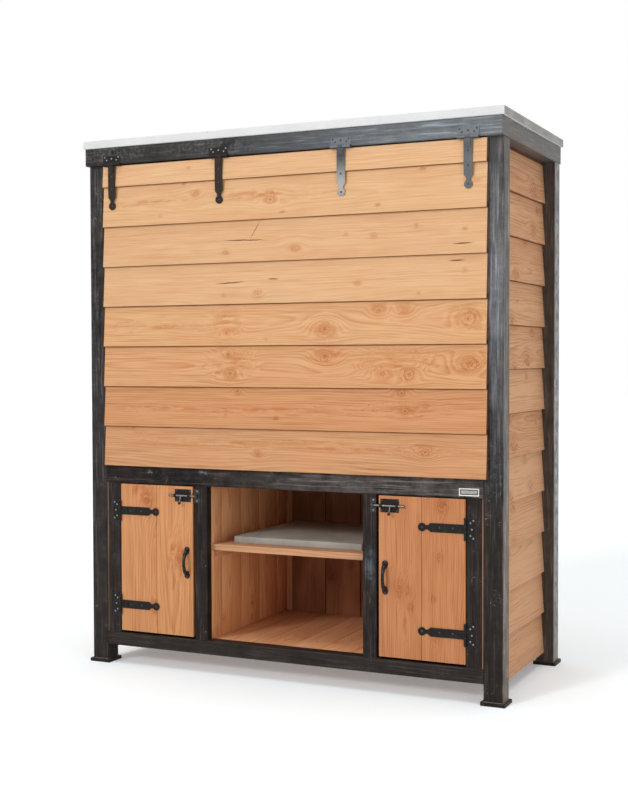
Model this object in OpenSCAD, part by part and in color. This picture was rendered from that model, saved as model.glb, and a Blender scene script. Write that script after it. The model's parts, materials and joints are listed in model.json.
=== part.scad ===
// Outdoor kitchen: a welded box-tube frame, clad with lapped boards, under a pale roof slab.
// A wide flap hangs from T-hinges over the worktop space, and two boarded doors with bolts
// stand either side of an open bay with a shelf.
// Origin: middle of the whole footprint, on the ground. The front faces -Y.

/* [Frame] */
// Width across the posts
frame_w = 1900; // [1600:10:2200]
// Depth across the posts
frame_d = 835; // [740:5:1000]
// Height of the steel frame, without the roof slab
frame_h = 2275; // [2100:5:2400]
// Side of a square post
post_size = 80; // [70:5:90]
// Wall of every tube
tube_wall = 3; // [2:0.5:4]
// Outer corner radius of every tube
tube_corner = 5; // [4.5:0.5:8]
// Height of the ring of beams on top of the posts
ring_h = 75; // [60:5:90]
// Thickness of the caps that close the front and rear beams
cap_t = 3; // [2:0.5:5]
// Depth of the rear and side beams
ring_d = 80; // [70:5:90]
// Depth of the front beam
ring_front_d = 100; // [92:1:110]
// How far the rear beam stands out behind the rear posts
ring_rear_out = 3; // [0:1:10]
// Side of a foot plate
foot_size = 100; // [94:1:115]
// Thickness of a foot plate
foot_t = 14; // [8:1:20]
// Height of the underside of the mid rails
mid_z = 805; // [740:5:860]
// Height of a mid rail
mid_h = 80; // [60:5:90]
// Height of the underside of the bottom rails
base_z = 81; // [60:1:110]
// Height of a bottom rail
base_h = 60; // [50:5:80]
// Depth of the front bottom rail
base_d = 60; // [50:5:80]
// Thickness of the slim tubes: mid rails, jambs, side and rear rails
slim_t = 40; // [36:1:50]

/* [Roof] */
// Thickness of the roof slab
roof_t = 33; // [20:1:50]
// Overhang of the slab past the ring at the sides
roof_side_over = 9; // [0:1:20]
// Overhang of the slab past the ring at the front
roof_front_over = 8; // [0:1:14]
// Overhang of the slab past the ring at the rear
roof_rear_over = 10; // [0:1:40]

/* [Cladding] */
// Thickness of a lapped board at its lower edge
board_butt = 26; // [22:0.5:28]
// Thickness of a lapped board at its upper edge
board_tip = 11.5; // [9:0.5:14]
// How far a lapped board covers the one below it
board_lap = 18; // [10:1:30]
// Boards on each clad side, one above the other
side_courses = 12; // [9:1:16]
// Height of the lower edge of the side and rear cladding
clad_z = 55; // [40:1:75]
// How far the side cladding sits behind the outer face of the posts
side_recess = 43; // [20:1:45]
// How far the rear cladding sits behind the outer face of the posts
rear_recess = 5; // [2:1:20]
// Width of the battens that carry the cladding
batten_w = 40; // [30:1:50]

/* [Flap] */
// Gap between the flap and the left post, seen from the front
flap_left_gap = 5; // [2:1:20]
// How far the flap laps over the right post
flap_right_cover = 19; // [0:1:40]
// How far the flap covers the front mid rail
flap_cover = 2; // [1:1:30]
// Gap between the flap and the ring above it
flap_gap = 6; // [3:1:12]
// Height left of the cut top board of the flap
flap_top_board = 91; // [80:1:140]
// Thickness of the battens behind the flap
flap_batten_t = 28; // [20:1:34]
// Width of the battens behind the flap
flap_batten_w = 70; // [40:1:76]
// Gap between the flap's battens and the mid rail
flap_batten_gap = 5; // [2:1:20]
// Distance of the outer flap hinges from the inner faces of the posts
flap_hinge_inset = 54.5; // [48:0.5:160]
// Distance of the inner flap hinges from the middle
flap_hinge_in = 281; // [150:1:500]

/* [Doors] */
// Clear width of the open bay
bay_w = 722; // [600:2:860]
// Width of the jambs beside the bay
jamb_w = 61; // [50:1:75]
// Width of the jambs beside the posts
outer_jamb_w = 64; // [54:1:75]
// Width of the wooden strip between a jamb and a post
filler_w = 6; // [3:1:12]
// Gap at a door's hinge edge
door_hinge_gap = 2.5; // [2:0.5:6]
// Gap at a door's closing edge
door_close_gap = 10; // [4:0.5:14]
// Gap above a door
door_top_gap = 4; // [2:0.5:10]
// Gap below a door
door_foot_gap = 10.5; // [3:0.5:16]
// Thickness of a door board
door_t = 22; // [18:1:28]
// Thickness of a ledge behind a door
ledge_t = 18; // [14:1:24]
// Width of a ledge and of the brace
ledge_w = 70; // [50:1:90]
// Distance of the ledges from the side edges of a door
ledge_inset = 25; // [15:1:40]
// Distance of the ledges from the ends of a door
ledge_end = 60; // [30:1:100]
// Bevel along the edges of the door boards
door_bevel = 1.5; // [0.5:0.5:3]
// Height of the upper door hinge above the foot of the door
door_hinge_top = 532; // [430:1:570]
// Height of the lower door hinge above the foot of the door
door_hinge_low = 117; // [70:1:200]

/* [Hinges] */
// Length of a hinge strap from its pin to the end of its ball
strap_len = 198; // [150:1:220]
// Width of a strap
strap_w = 36; // [30:1:44]
// Thickness of a strap
strap_t = 3; // [2:0.5:4]
// Width of a strap's neck
strap_neck_w = 17; // [11:1:22]
// Length of the neck between a strap's body and its ball
strap_neck_len = 14; // [11:1:20]
// Diameter of the ball end
ball_d = 34; // [27:1:38]
// Length of the cross plate along the pin
plate_len = 88; // [80:1:110]
// Reach of the cross plate from the pin
plate_reach = 37; // [34:1:44]
// Thickness of the cross plate
plate_t = 2.5; // [2:0.5:3.5]
// Distance of the outer screws from the ends of the cross plate
plate_end_inset = 9; // [7:0.5:12]
// Distance of the inner screws from the ends of the cross plate
plate_mid_inset = 19; // [16:0.5:26]
// Distance of the outer screws from the long edge of the cross plate
plate_edge_inset = 6; // [5:0.5:9]
// Distance of the inner screws from the long edge of the cross plate
plate_low_inset = 18; // [16:0.5:22]
// Distance of a strap's first screw from its tongue
strap_first_screw = 16; // [10:1:30]
// Distance of a strap's middle screw from the end of its ball
strap_mid_screw = 90; // [60:1:110]
// Outer radius of a knuckle
knuckle_r = 6; // [5.5:0.5:8]
// Width of the strap's knuckle and of its folded tongue
knuckle_w = 22; // [18:1:30]
// Length of the folded tongue from the pin
tongue_len = 36; // [28:1:44]
// Radius of a hinge pin
pin_r = 3; // [2:0.25:3.5]
// Radial play of a pin in its knuckles
pin_play = 0.08; // [0.04:0.01:0.1]
// Side play between two knuckles
knuckle_play = 0.4; // [0.3:0.1:1]

/* [Bolts] */
// Height of the bolts above the foot of the door
bolt_height = 610; // [560:1:615]
// Length of the bolt's plate
bolt_plate_l = 79; // [76:1:95]
// Height of the bolt's plate
bolt_plate_h = 54; // [48:1:60]
// Thickness of the bolt's plate and of its keeper
bolt_plate_t = 2; // [1.5:0.5:3]
// Distance of the bolt's plate from the closing edge of the door
bolt_inset = 8; // [6:1:16]
// Radius of the bolt rod
rod_r = 4.5; // [3.5:0.25:4.75]
// Length of the bolt rod
rod_len = 131; // [122:1:150]
// Distance of the rod's axis from the face of the door
rod_stand = 9; // [8.5:0.5:11]
// Radial play of the rod in its guides
rod_play = 0.1; // [0.05:0.01:0.1]
// Radial play of the rod in the keeper
keeper_play = 0.8; // [0.5:0.1:1.2]
// Wall of the guides and of the keeper's loop
guide_wall = 3; // [2:0.5:3.5]
// Length of a guide along the rod
guide_len = 10; // [8:1:11]
// Distance of the screws from the ends of the bolt's plate
bolt_end_inset = 6; // [5:0.5:9]
// Distance of the screws from the long edges of the bolt's plate
bolt_edge_inset = 7; // [5:0.5:9]
// Distance of the screws from the ends of the keeper
keeper_end_inset = 8; // [6:0.5:10]
// Width of the keeper's plate
keeper_w = 24; // [20:1:28]
// Height of the keeper's plate
keeper_h = 56; // [46:1:64]
// Distance of the keeper's plate from the edge of the jamb
keeper_inset = 1; // [0:0.5:6]
// Travel that shoots the bolt home from rest
bolt_throw = 26; // [20:1:28]
// Travel that draws the bolt back from rest
bolt_draw = 14; // [8:1:15]
// Length of the bolt's finger lever, from the rod's axis to its ball
lever_len = 34; // [24:1:35]
// Radius of the lever's stem
lever_r = 3; // [2.5:0.25:3.5]
// Radius of the lever's ball
lever_ball = 6.5; // [5:0.5:7]
// Lean of the finger lever away from the door
lever_lean = 24; // [10:1:28]

/* [Handles] */
// Distance of a handle's middle from the closing edge of the door
handle_inset = 28; // [20:0.5:50]
// Height of a handle's middle above the foot of the door
handle_height = 320.5; // [250:0.5:420]
// Overall length of a handle
handle_len = 138; // [110:1:160]
// How far a handle stands out from the door
handle_reach = 37; // [34:1:45]
// Thickness of the bow at its middle
bow_d = 12; // [8:0.5:13]
// Radius of a handle's foot
handle_foot_r = 13; // [9:0.5:14]
// Thickness of a handle's foot
handle_foot_t = 3; // [2:0.5:5]
// Distance of a handle's screws from its ends
handle_end_inset = 7; // [6:0.5:9]
// Distance of the bow's ends from the handle's ends
bow_end_inset = 21; // [20:0.5:26]

/* [Inside] */
// Thickness of the worktop boards
worktop_t = 27; // [18:1:40]
// Boards across the depth of the worktop
worktop_count = 5; // [3:1:8]
// Thickness of the floor boards
floor_t = 18; // [15:1:27]
// Floor boards along the width
floor_count = 12; // [8:1:16]
// Thickness of the bay's lining boards
lining_t = 18; // [12:1:24]
// Width of a lining board
lining_w = 175; // [120:5:220]
// Gap between two lining boards
lining_gap = 4; // [1:0.5:6]
// Width of the first lining board behind each jamb
lining_first = 91; // [60:1:140]
// Open gap at each side of the bay's back lining
back_gap = 38; // [4:1:60]
// Height of the top of the shelf
shelf_top = 554; // [420:1:620]
// Thickness of the shelf boards
shelf_t = 27; // [18:1:35]
// Boards across the depth of the shelf
shelf_count = 4; // [2:1:6]
// Height of the cleats under the shelf
cleat_h = 30; // [20:1:45]
// Thickness of the cleats under the shelf
cleat_t = 20; // [12:1:25]
// Side of the square stone slab on the shelf
slab_size = 600; // [450:5:620]
// Thickness of the stone slab
slab_t = 28; // [20:1:40]
// How far the stone slab lies to the right of the middle
slab_shift = 8; // [-30:1:30]
// Gap behind the stone slab
slab_back_gap = 30; // [0:1:60]
// How far the shelf lies behind the jambs
shelf_setback = 2; // [0:1:30]
// How far the cleats start behind the jambs
cleat_setback = 20; // [4:1:60]
// Gap between flat boards that lie side by side
board_gap = 2; // [1:0.5:4]

/* [Trim] */
// Width of the blank plate on the mid rail
badge_w = 82; // [60:1:100]
// Height of the blank plate
badge_h = 30; // [20:1:36]
// Thickness of the blank plate
badge_t = 2; // [1:0.5:3]
// Width of the raised border of the blank plate
badge_rim = 3; // [2:0.5:5]
// Distance of the blank plate from the right post
badge_inset = 17; // [10:1:60]
// Height of the blank plate above the underside of the mid rail
badge_lift = 9; // [4:1:30]
// Radius of a screw's shank
screw_r = 2; // [1.5:0.25:2.25]
// Radius of a screw's head
head_r = 4; // [3.5:0.25:4.5]
// Height of a screw's head
head_h = 1.6; // [1:0.2:2.4]
// Play of a screw in what it passes through
screw_play = 0.3; // [0.1:0.1:0.4]
// How deep a screw goes into a board
screw_wood = 18; // [12:1:20]
// How deep a screw goes into a tube
screw_steel = 8; // [5:1:12]

/* [Hidden] */
$fn = 32;
cut = 1; // overrun of a cut past the face that it opens

// Where the frame stands
front_reach = max(handle_reach, board_butt + max(roof_front_over, 2 * knuckle_r));
rear_reach = ring_rear_out + roof_rear_over;
face_y = -(front_reach + frame_d + rear_reach) / 2 + front_reach; // front face of the posts
back_y = face_y + frame_d; // rear face of the posts
half_w = frame_w / 2;
post_in_x = half_w - post_size; // inner face of a post
post_in_front = face_y + post_size;
post_in_back = back_y - post_size;
ring_z = frame_h - ring_h;
ring_front = face_y - board_butt; // the flap's boards end flush with the ring
ring_back = back_y + ring_rear_out;
mid_top = mid_z + mid_h;
base_top = base_z + base_h;

// Lapped boards
side_back = half_w - side_recess - board_butt; // flat back of the side boards
rear_back = back_y - rear_recess - board_butt; // flat back of the rear boards
clad_top = ring_z;
side_pitch = (clad_top - clad_z) / side_courses;
board_slope = (board_butt - board_tip) / (side_pitch + board_lap);
rebate_play = 0.4; // play of a board's rebate over the tip of the board below
rail_in_x = side_back - slim_t;
rail_in_back = rear_back - slim_t;
lining_back = rail_in_back; // the back lining stands against the rear rails

// Flap
flap_z = mid_top - flap_cover;
flap_top = ring_z - flap_gap;
flap_pitch = (flap_top - flap_z - flap_top_board) / 7;
flap_left = -post_in_x + flap_left_gap;
flap_w = 2 * post_in_x - flap_left_gap + flap_right_cover;
flap_hinge_out = post_in_x - flap_hinge_inset;
flap_hinges = [-flap_hinge_out, -flap_hinge_in, flap_hinge_in, flap_hinge_out];
flap_batten_z = mid_top + flap_batten_gap;
flap_screw_depth = board_butt + flap_batten_t / 2;
inside_front = face_y + slim_t; // back of the mid rail and the jambs
bay_depth = lining_back - lining_t - inside_front;
seat_play = 0.1; // air between a bent strap and the board that it lies on
strap_bend_at = flap_top_board + flap_gap; // the flap's straps bend in below the top board's butt
strap_low = strap_len - strap_bend_at;
strap_bend = atan((board_slope * (flap_pitch - strap_low) - seat_play) / strap_low);

// Doors, given for the right one; the left one is its mirror image
bay_half = bay_w / 2;
jamb_edge = bay_half + jamb_w;
outer_jamb_x = post_in_x - filler_w - outer_jamb_w;
door_in_x = jamb_edge + door_close_gap;
door_out_x = outer_jamb_x - door_hinge_gap;
door_w = door_out_x - door_in_x;
door_z = base_top + door_foot_gap;
door_h = mid_z - door_top_gap - door_z;
door_axis_x = outer_jamb_x - door_hinge_gap / 2;
door_hinges = [door_z + door_hinge_low, door_z + door_hinge_top];

// Bolts, given for the right one
bolt_z = door_z + bolt_height;
bolt_x = door_in_x + bolt_inset;
guide_r = rod_r + guide_wall;
keeper_x = jamb_edge - keeper_inset - keeper_w;
rod_start = keeper_x + keeper_w / 2 + guide_len / 2 + 1; // tip of the rod at rest, clear of the keeper
lever_x = bolt_x + guide_len + bolt_throw + 3 * lever_r; // finger lever at rest

// Floors
floor_top = base_top;
worktop_z = mid_top;
wall_h = worktop_z - floor_top;

// Screw places on a cross plate, as [along the pin, away from the pin]
plate_screws = [
    [-plate_len / 2 + plate_end_inset, plate_reach - plate_edge_inset],
    [plate_len / 2 - plate_end_inset, plate_reach - plate_edge_inset],
    [-plate_len / 2 + plate_mid_inset, plate_reach - plate_low_inset],
    [plate_len / 2 - plate_mid_inset, plate_reach - plate_low_inset],
    [0, plate_reach - (plate_edge_inset + plate_low_inset) / 2]
];
// Screw places on a strap, as distances from the pin
strap_screws = [tongue_len + strap_first_screw, strap_len - strap_mid_screw, strap_len - ball_d / 2];
bolt_screws = [
    for (x = [bolt_end_inset, bolt_plate_l - bolt_end_inset], z = [-1, 1])
        [x, z * (bolt_plate_h / 2 - bolt_edge_inset)]
];
keeper_screws = [-keeper_h / 2 + keeper_end_inset, keeper_h / 2 - keeper_end_inset];
handle_screw = handle_len / 2 - handle_end_inset;

steel = [0.16, 0.16, 0.17];
iron = [0.10, 0.10, 0.11];
zinc = [0.62, 0.62, 0.60];
larch = [0.85, 0.64, 0.42];
larch_dark = [0.72, 0.50, 0.34];

// Makes a right-hand piece, or its mirror image for the left
module on_side(s) {
    if (s > 0) {
        children();
    } else {
        mirror([1, 0, 0]) children();
    }
}

module rounded_rect(w, h, r) {
    translate([r, 0]) square([w - 2 * r, h]);
    translate([0, r]) square([w, h - 2 * r]);
    for (x = [r, w - r], y = [r, h - r]) {
        translate([x, y]) circle(r);
    }
}

module tube_profile(w, h) {
    inner_r = max(tube_corner - tube_wall, 0.5);
    difference() {
        rounded_rect(w, h, tube_corner);
        translate([tube_wall, tube_wall])
            rounded_rect(w - 2 * tube_wall, h - 2 * tube_wall, inner_r);
    }
}

// Tubes with their low corner at the origin, named by the axis they run along
module tube_x(l, d, h) {
    rotate([90, 0, 90]) linear_extrude(l) tube_profile(d, h);
}

module tube_y(w, l, h) {
    translate([0, l, 0]) rotate([90, 0, 0]) linear_extrude(l) tube_profile(w, h);
}

module tube_z(w, d, l) {
    linear_extrude(l) tube_profile(w, d);
}

// One lapped board along X: flat back on y = 0, face towards -Y, rebated over the board below
module lapped_board(l, h, pitch, rebated) {
    tip = board_butt - board_slope * h;
    step_t = board_butt - board_slope * pitch + rebate_play;
    rebate_h = board_lap + rebate_play;
    foot = rebated ? [[0, rebate_h], [-step_t, rebate_h], [-step_t, 0]] : [[0, 0]];
    rotate([90, 0, 90]) linear_extrude(l)
        polygon(concat(foot, [[-board_butt, 0], [-tip, h], [0, h]]));
}

// A wall of lapped boards, l long
module lapped_wall(l) {
    for (k = [0:side_courses - 1]) {
        last = k == side_courses - 1;
        translate([0, 0, clad_z + k * side_pitch])
            lapped_board(l, last ? side_pitch : side_pitch + board_lap, side_pitch, k > 0);
    }
}

// Boards of one width side by side along X, the last one cut to fit
module board_row(total, w, gap, depth, h, first = 0) {
    start = first > 0 ? first + gap : 0;
    if (first > 0) {
        cube([first, depth, h]);
    }
    for (x = [start:w + gap:total - gap]) {
        translate([x, 0, 0]) cube([min(w, total - x), depth, h]);
    }
}

// Boards of equal width that fill a depth along Y
module board_deck(l, depth, t, count) {
    w = (depth - board_gap * (count - 1)) / count;
    for (k = [0:count - 1]) {
        translate([0, k * (w + board_gap), 0]) cube([l, w, t]);
    }
}

module screw(depth) {
    rotate_extrude() polygon([
        [0, head_h], [head_r * 0.55, head_h * 0.92], [head_r * 0.9, head_h * 0.5], [head_r, 0],
        [screw_r, 0], [screw_r, -depth], [0, -depth]
    ]);
}

module screw_hole(depth, play) {
    translate([0, 0, -depth - cut]) cylinder(h = depth + 2 * cut, r = screw_r + play);
}

// Flat outline of a strap: body, waist and ball, pin along X at the origin
module strap_outline() {
    body_end = strap_len - ball_d - strap_neck_len;
    half = strap_w / 2;
    neck = strap_neck_w / 2;
    polygon([
        [-half, -knuckle_r - 1], [half, -knuckle_r - 1],
        [half, -body_end + 4], [half - 4, -body_end], [neck + 3, -body_end - 3],
        [neck, -body_end - 8], [neck, -strap_len + ball_d / 2],
        [-neck, -strap_len + ball_d / 2], [-neck, -body_end - 8],
        [-neck - 3, -body_end - 3], [-half + 4, -body_end], [-half, -body_end + 4]
    ]);
    translate([0, -strap_len + ball_d / 2]) circle(d = ball_d);
}

// Turns what lies below the bend in towards the boards
module below_bend(bend) {
    translate([0, -strap_bend_at, strap_t]) rotate([bend, 0, 0])
        translate([0, strap_bend_at, -strap_t]) children();
}

// Stands a screw or its hole at y on the strap
module at_strap_screw(y, bend) {
    if (bend > 0 && y > strap_bend_at) {
        below_bend(bend) translate([0, -y, 0]) children();
    } else {
        translate([0, -y, 0]) children();
    }
}

// Hinge frame: pin along X, strap towards -Y, cross plate towards +Y, seat on z = 0
module hinge_strap(bend) {
    difference() {
        union() {
            if (bend > 0) {
                linear_extrude(strap_t) intersection() {
                    strap_outline();
                    translate([-ball_d, -strap_bend_at]) square([2 * ball_d, strap_bend_at]);
                }
                below_bend(bend) linear_extrude(strap_t) intersection() {
                    strap_outline();
                    translate([-ball_d, -strap_len]) square([2 * ball_d, strap_low]);
                }
            } else {
                linear_extrude(strap_t) strap_outline();
            }
            translate([-knuckle_w / 2, -tongue_len, 0]) cube([knuckle_w, tongue_len, 2 * strap_t]);
            translate([-knuckle_w / 2, 0, knuckle_r])
                rotate([0, 90, 0]) cylinder(h = knuckle_w, r = knuckle_r);
        }
        translate([-knuckle_w, 0, knuckle_r])
            rotate([0, 90, 0]) cylinder(h = 2 * knuckle_w, r = pin_r + pin_play);
        for (y = strap_screws) {
            at_strap_screw(y, bend) translate([0, 0, strap_t]) screw_hole(strap_t, screw_play);
        }
    }
}

module hinge_plate() {
    slot_w = knuckle_w + 2 * knuckle_play;
    barrel_l = (plate_len - slot_w) / 2;
    difference() {
        union() {
            translate([-plate_len / 2, 0, 0]) cube([plate_len, plate_reach, plate_t]);
            for (x = [-plate_len / 2, slot_w / 2]) {
                translate([x, 0, knuckle_r]) rotate([0, 90, 0]) cylinder(h = barrel_l, r = knuckle_r);
            }
        }
        translate([-slot_w / 2, -cut, -cut])
            cube([slot_w, knuckle_r + 1 + cut, plate_t + 2 * cut]);
        translate([-plate_len / 2 - cut, 0, knuckle_r])
            rotate([0, 90, 0]) cylinder(h = plate_len + 2 * cut, r = pin_r + pin_play);
        for (p = plate_screws) {
            translate([p[0], p[1], plate_t]) screw_hole(plate_t, screw_play);
        }
    }
}

module hinge_pin() {
    head = pin_r + 1.2;
    translate([-plate_len / 2, 0, knuckle_r]) rotate([0, 90, 0]) cylinder(h = plate_len, r = pin_r);
    for (x = [-plate_len / 2 - 1.5, plate_len / 2]) {
        translate([x, 0, knuckle_r]) rotate([0, 90, 0]) cylinder(h = 1.5, r = head);
    }
}

module plate_screw_set(holes) {
    for (p = plate_screws) {
        translate([p[0], p[1], holes ? 0 : plate_t]) {
            if (holes) {
                screw_hole(screw_steel, 0.05);
            } else {
                screw(plate_t + screw_steel);
            }
        }
    }
}

module strap_screw_set(holes, depth, bend) {
    for (y = strap_screws) {
        at_strap_screw(y, bend) {
            if (holes) {
                screw_hole(depth, 0.05);
            } else {
                translate([0, 0, strap_t]) screw(strap_t + depth);
            }
        }
    }
}

// Stands a hinge at its place on the flap, x from the middle
module at_flap_hinge(x) {
    translate([x, ring_front, ring_z]) rotate([90, 0, 0]) children();
}

// Stands a hinge at its place on the right door
module at_door_hinge(z) {
    translate([door_axis_x, face_y, z]) rotate([0, 90, 0]) rotate([90, 0, 0]) children();
}

// Turns a piece drawn on z = 0 so that it stands on the front face
module on_face(x, z) {
    translate([x, face_y, z]) rotate([90, 0, 0]) children();
}

module foot_plates() color(iron) {
    over = (foot_size - post_size) / 2;
    for (x = [-half_w - over, half_w - post_size - over], y = [face_y - over, post_in_back - over]) {
        translate([x, y, 0]) linear_extrude(foot_t) rounded_rect(foot_size, foot_size, 2);
    }
}

module post_pair(y) {
    for (x = [-half_w, post_in_x]) {
        translate([x, y, foot_t]) tube_z(post_size, post_size, ring_z - foot_t);
    }
}

module front_posts() color(steel) post_pair(face_y);

module rear_posts() color(steel) post_pair(post_in_back);

module front_top_beam() color(steel) difference() {
    translate([-half_w, ring_front, ring_z])
        tube_x(frame_w, ring_front_d, ring_h);
    for (x = flap_hinges) {
        at_flap_hinge(x) plate_screw_set(true);
    }
}

module rear_top_beam() color(steel)
    translate([-half_w, ring_back - ring_d, ring_z]) tube_x(frame_w, ring_d, ring_h);

module side_top_beams() color(steel) {
    front = ring_front + ring_front_d;
    l = ring_back - ring_d - front;
    for (s = [-1, 1]) {
        on_side(s) translate([half_w + cap_t - ring_d, front, ring_z]) tube_y(ring_d, l, ring_h);
    }
}

module beam_end_caps() color(steel) {
    for (s = [-1, 1], yd = [[ring_front, ring_front_d], [ring_back - ring_d, ring_d]]) {
        on_side(s) translate([half_w, yd[0], ring_z])
            rotate([90, 0, 90]) linear_extrude(cap_t) rounded_rect(yd[1], ring_h, tube_corner);
    }
}

module front_mid_rail() color(steel)
    translate([-post_in_x, face_y, mid_z]) tube_x(2 * post_in_x, slim_t, mid_h);

module rear_mid_rail() color(steel)
    translate([-post_in_x, rail_in_back, mid_z]) tube_x(2 * post_in_x, slim_t, mid_h);

module side_mid_rails() color(steel) {
    for (s = [-1, 1]) {
        on_side(s) translate([rail_in_x, post_in_front, mid_z])
            tube_y(slim_t, post_in_back - post_in_front, mid_h);
    }
}

module front_bottom_rail() color(steel)
    translate([-post_in_x, face_y, base_z]) tube_x(2 * post_in_x, base_d, base_h);

module rear_bottom_rail() color(steel)
    translate([-post_in_x, rail_in_back, base_z]) tube_x(2 * post_in_x, slim_t, base_h);

module side_bottom_rails() color(steel) {
    for (s = [-1, 1]) {
        on_side(s) translate([rail_in_x, post_in_front, base_z])
            tube_y(slim_t, post_in_back - post_in_front, base_h);
    }
}

module door_jambs() color(steel) {
    for (s = [-1, 1]) {
        on_side(s) difference() {
            union() {
                translate([bay_half, face_y, base_top]) tube_z(jamb_w, slim_t, mid_z - base_top);
                translate([outer_jamb_x, face_y, base_top]) tube_z(outer_jamb_w, slim_t, mid_z - base_top);
            }
            for (z = door_hinges) {
                at_door_hinge(z) plate_screw_set(true);
            }
            for (dz = keeper_screws) {
                on_face(keeper_x + keeper_w / 2, bolt_z + dz) screw_hole(screw_steel, 0.05);
            }
        }
    }
}

module jamb_fillers() color(larch_dark) {
    setback = 2;
    for (s = [-1, 1]) {
        on_side(s) translate([post_in_x - filler_w, face_y + setback, base_top])
            cube([filler_w, slim_t - setback, mid_z - base_top]);
    }
}

module roof_slab() color([0.88, 0.88, 0.87]) {
    w = frame_w + 2 * (cap_t + roof_side_over);
    d = ring_back + roof_rear_over - ring_front + roof_front_over;
    translate([-w / 2, ring_front - roof_front_over, frame_h]) cube([w, d, roof_t]);
}

module side_cladding() {
    translate([side_back, post_in_front, 0])
        rotate([0, 0, 90]) lapped_wall(post_in_back - post_in_front);
}

module left_cladding() color(larch_dark) on_side(-1) side_cladding();

module right_cladding() color(larch_dark) on_side(1) side_cladding();

module rear_cladding() color(larch_dark)
    translate([post_in_x, rear_back, 0]) rotate([0, 0, 180]) lapped_wall(2 * post_in_x);

// Upright battens behind the cladding, cut between the rails and above the worktop
module cladding_battens() color(larch_dark) {
    upper_z = worktop_z + worktop_t;
    spans = [[base_top, mid_z - base_top], [upper_z, ring_z - upper_z]];
    for (s = [-1, 1], v = spans) {
        on_side(s) {
            for (y = [post_in_front, post_in_back - batten_w]) {
                translate([rail_in_x, y, v[0]]) cube([slim_t, batten_w, v[1]]);
            }
            for (x = [bay_half - batten_w, post_in_x - batten_w]) {
                translate([x, rail_in_back, v[0]]) cube([batten_w, slim_t, v[1]]);
            }
        }
    }
}

module worktop() color(larch)
    translate([-post_in_x + board_gap, inside_front, worktop_z])
        board_deck(2 * (post_in_x - board_gap), rear_back - inside_front, worktop_t, worktop_count);

module floor_bearers() color(larch_dark) {
    front = face_y + base_d;
    l = 2 * rail_in_x;
    for (y = [front, (front + rail_in_back - batten_w) / 2, rail_in_back - batten_w]) {
        translate([-l / 2, y, base_z]) cube([l, batten_w, base_h - floor_t]);
    }
}

module floor_boards() color(larch) {
    front = face_y + base_d;
    l = 2 * rail_in_x;
    w = (l - board_gap * (floor_count - 1)) / floor_count;
    for (k = [0:floor_count - 1]) {
        translate([-l / 2 + k * (w + board_gap), front, floor_top - floor_t])
            cube([w, rail_in_back - front, floor_t]);
    }
}

module bay_wall() {
    translate([bay_half + lining_t, inside_front, floor_top]) rotate([0, 0, 90])
        board_row(lining_back - inside_front, lining_w, lining_gap / 2, lining_t, wall_h, lining_first);
}

module bay_left_wall() color(larch) on_side(-1) bay_wall();

module bay_right_wall() color(larch) on_side(1) bay_wall();

module bay_back_wall() color(larch_dark)
    translate([-bay_half + back_gap, lining_back - lining_t, floor_top])
        board_row(bay_w - back_gap - lining_gap, lining_w, lining_gap, lining_t, wall_h);

module bay_shelf() color(larch)
    translate([-bay_half, inside_front + shelf_setback, shelf_top - shelf_t])
        board_deck(bay_w, bay_depth - shelf_setback, shelf_t, shelf_count);

module shelf_cleats() color(larch_dark) {
    for (s = [-1, 1]) {
        on_side(s)
            translate([bay_half - cleat_t, inside_front + cleat_setback, shelf_top - shelf_t - cleat_h])
            cube([cleat_t, bay_depth - cleat_setback, cleat_h]);
    }
}

module stone_slab() color([0.55, 0.54, 0.50]) {
    back = lining_back - lining_t - slab_back_gap;
    translate([slab_shift - slab_size / 2, back - slab_size, shelf_top])
        cube([slab_size, slab_size, slab_t]);
}

module blank_plate() color(zinc)
    on_face(post_in_x - badge_inset - badge_w, mid_z + badge_lift) difference() {
        linear_extrude(badge_t) rounded_rect(badge_w, badge_h, 2);
        translate([badge_rim, badge_rim, badge_t / 2])
            linear_extrude(badge_t) rounded_rect(badge_w - 2 * badge_rim, badge_h - 2 * badge_rim, 1);
    }

module flap_hinge_plates() color(iron) {
    for (x = flap_hinges) {
        at_flap_hinge(x) hinge_plate();
    }
}

module door_hinge_plates() color(iron) {
    for (s = [-1, 1], z = door_hinges) {
        on_side(s) at_door_hinge(z) hinge_plate();
    }
}

module hinge_pins() color(zinc) {
    for (x = flap_hinges) {
        at_flap_hinge(x) hinge_pin();
    }
    for (s = [-1, 1], z = door_hinges) {
        on_side(s) at_door_hinge(z) hinge_pin();
    }
}

module frame_screws() color(zinc) {
    for (x = flap_hinges) {
        at_flap_hinge(x) plate_screw_set(false);
    }
    for (s = [-1, 1]) {
        on_side(s) {
            for (z = door_hinges) {
                at_door_hinge(z) plate_screw_set(false);
            }
            for (dz = keeper_screws) {
                on_face(keeper_x + keeper_w / 2, bolt_z + dz)
                    translate([0, 0, bolt_plate_t]) screw(bolt_plate_t + screw_steel);
            }
        }
    }
}

// A D-shaped guide for the rod: bore along X, seat on z = 0
module rod_guide(l, play) {
    wall_r = rod_r + play + guide_wall;
    difference() {
        union() {
            translate([0, -wall_r, 0]) cube([l, 2 * wall_r, rod_stand]);
            translate([0, 0, rod_stand]) rotate([0, 90, 0]) cylinder(h = l, r = wall_r);
        }
        translate([-cut, 0, rod_stand]) rotate([0, 90, 0]) cylinder(h = l + 2 * cut, r = rod_r + play);
    }
}

module bolt_keepers() color(iron) {
    for (s = [-1, 1]) {
        on_side(s) on_face(keeper_x, bolt_z) difference() {
            union() {
                translate([0, -keeper_h / 2, 0]) cube([keeper_w, keeper_h, bolt_plate_t]);
                translate([(keeper_w - guide_len) / 2, 0, 0]) rod_guide(guide_len, keeper_play);
            }
            translate([-cut, 0, rod_stand])
                rotate([0, 90, 0]) cylinder(h = keeper_w + 2 * cut, r = rod_r + keeper_play);
            for (dz = keeper_screws) {
                translate([keeper_w / 2, dz, bolt_plate_t]) screw_hole(bolt_plate_t, screw_play);
            }
        }
    }
}

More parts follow.
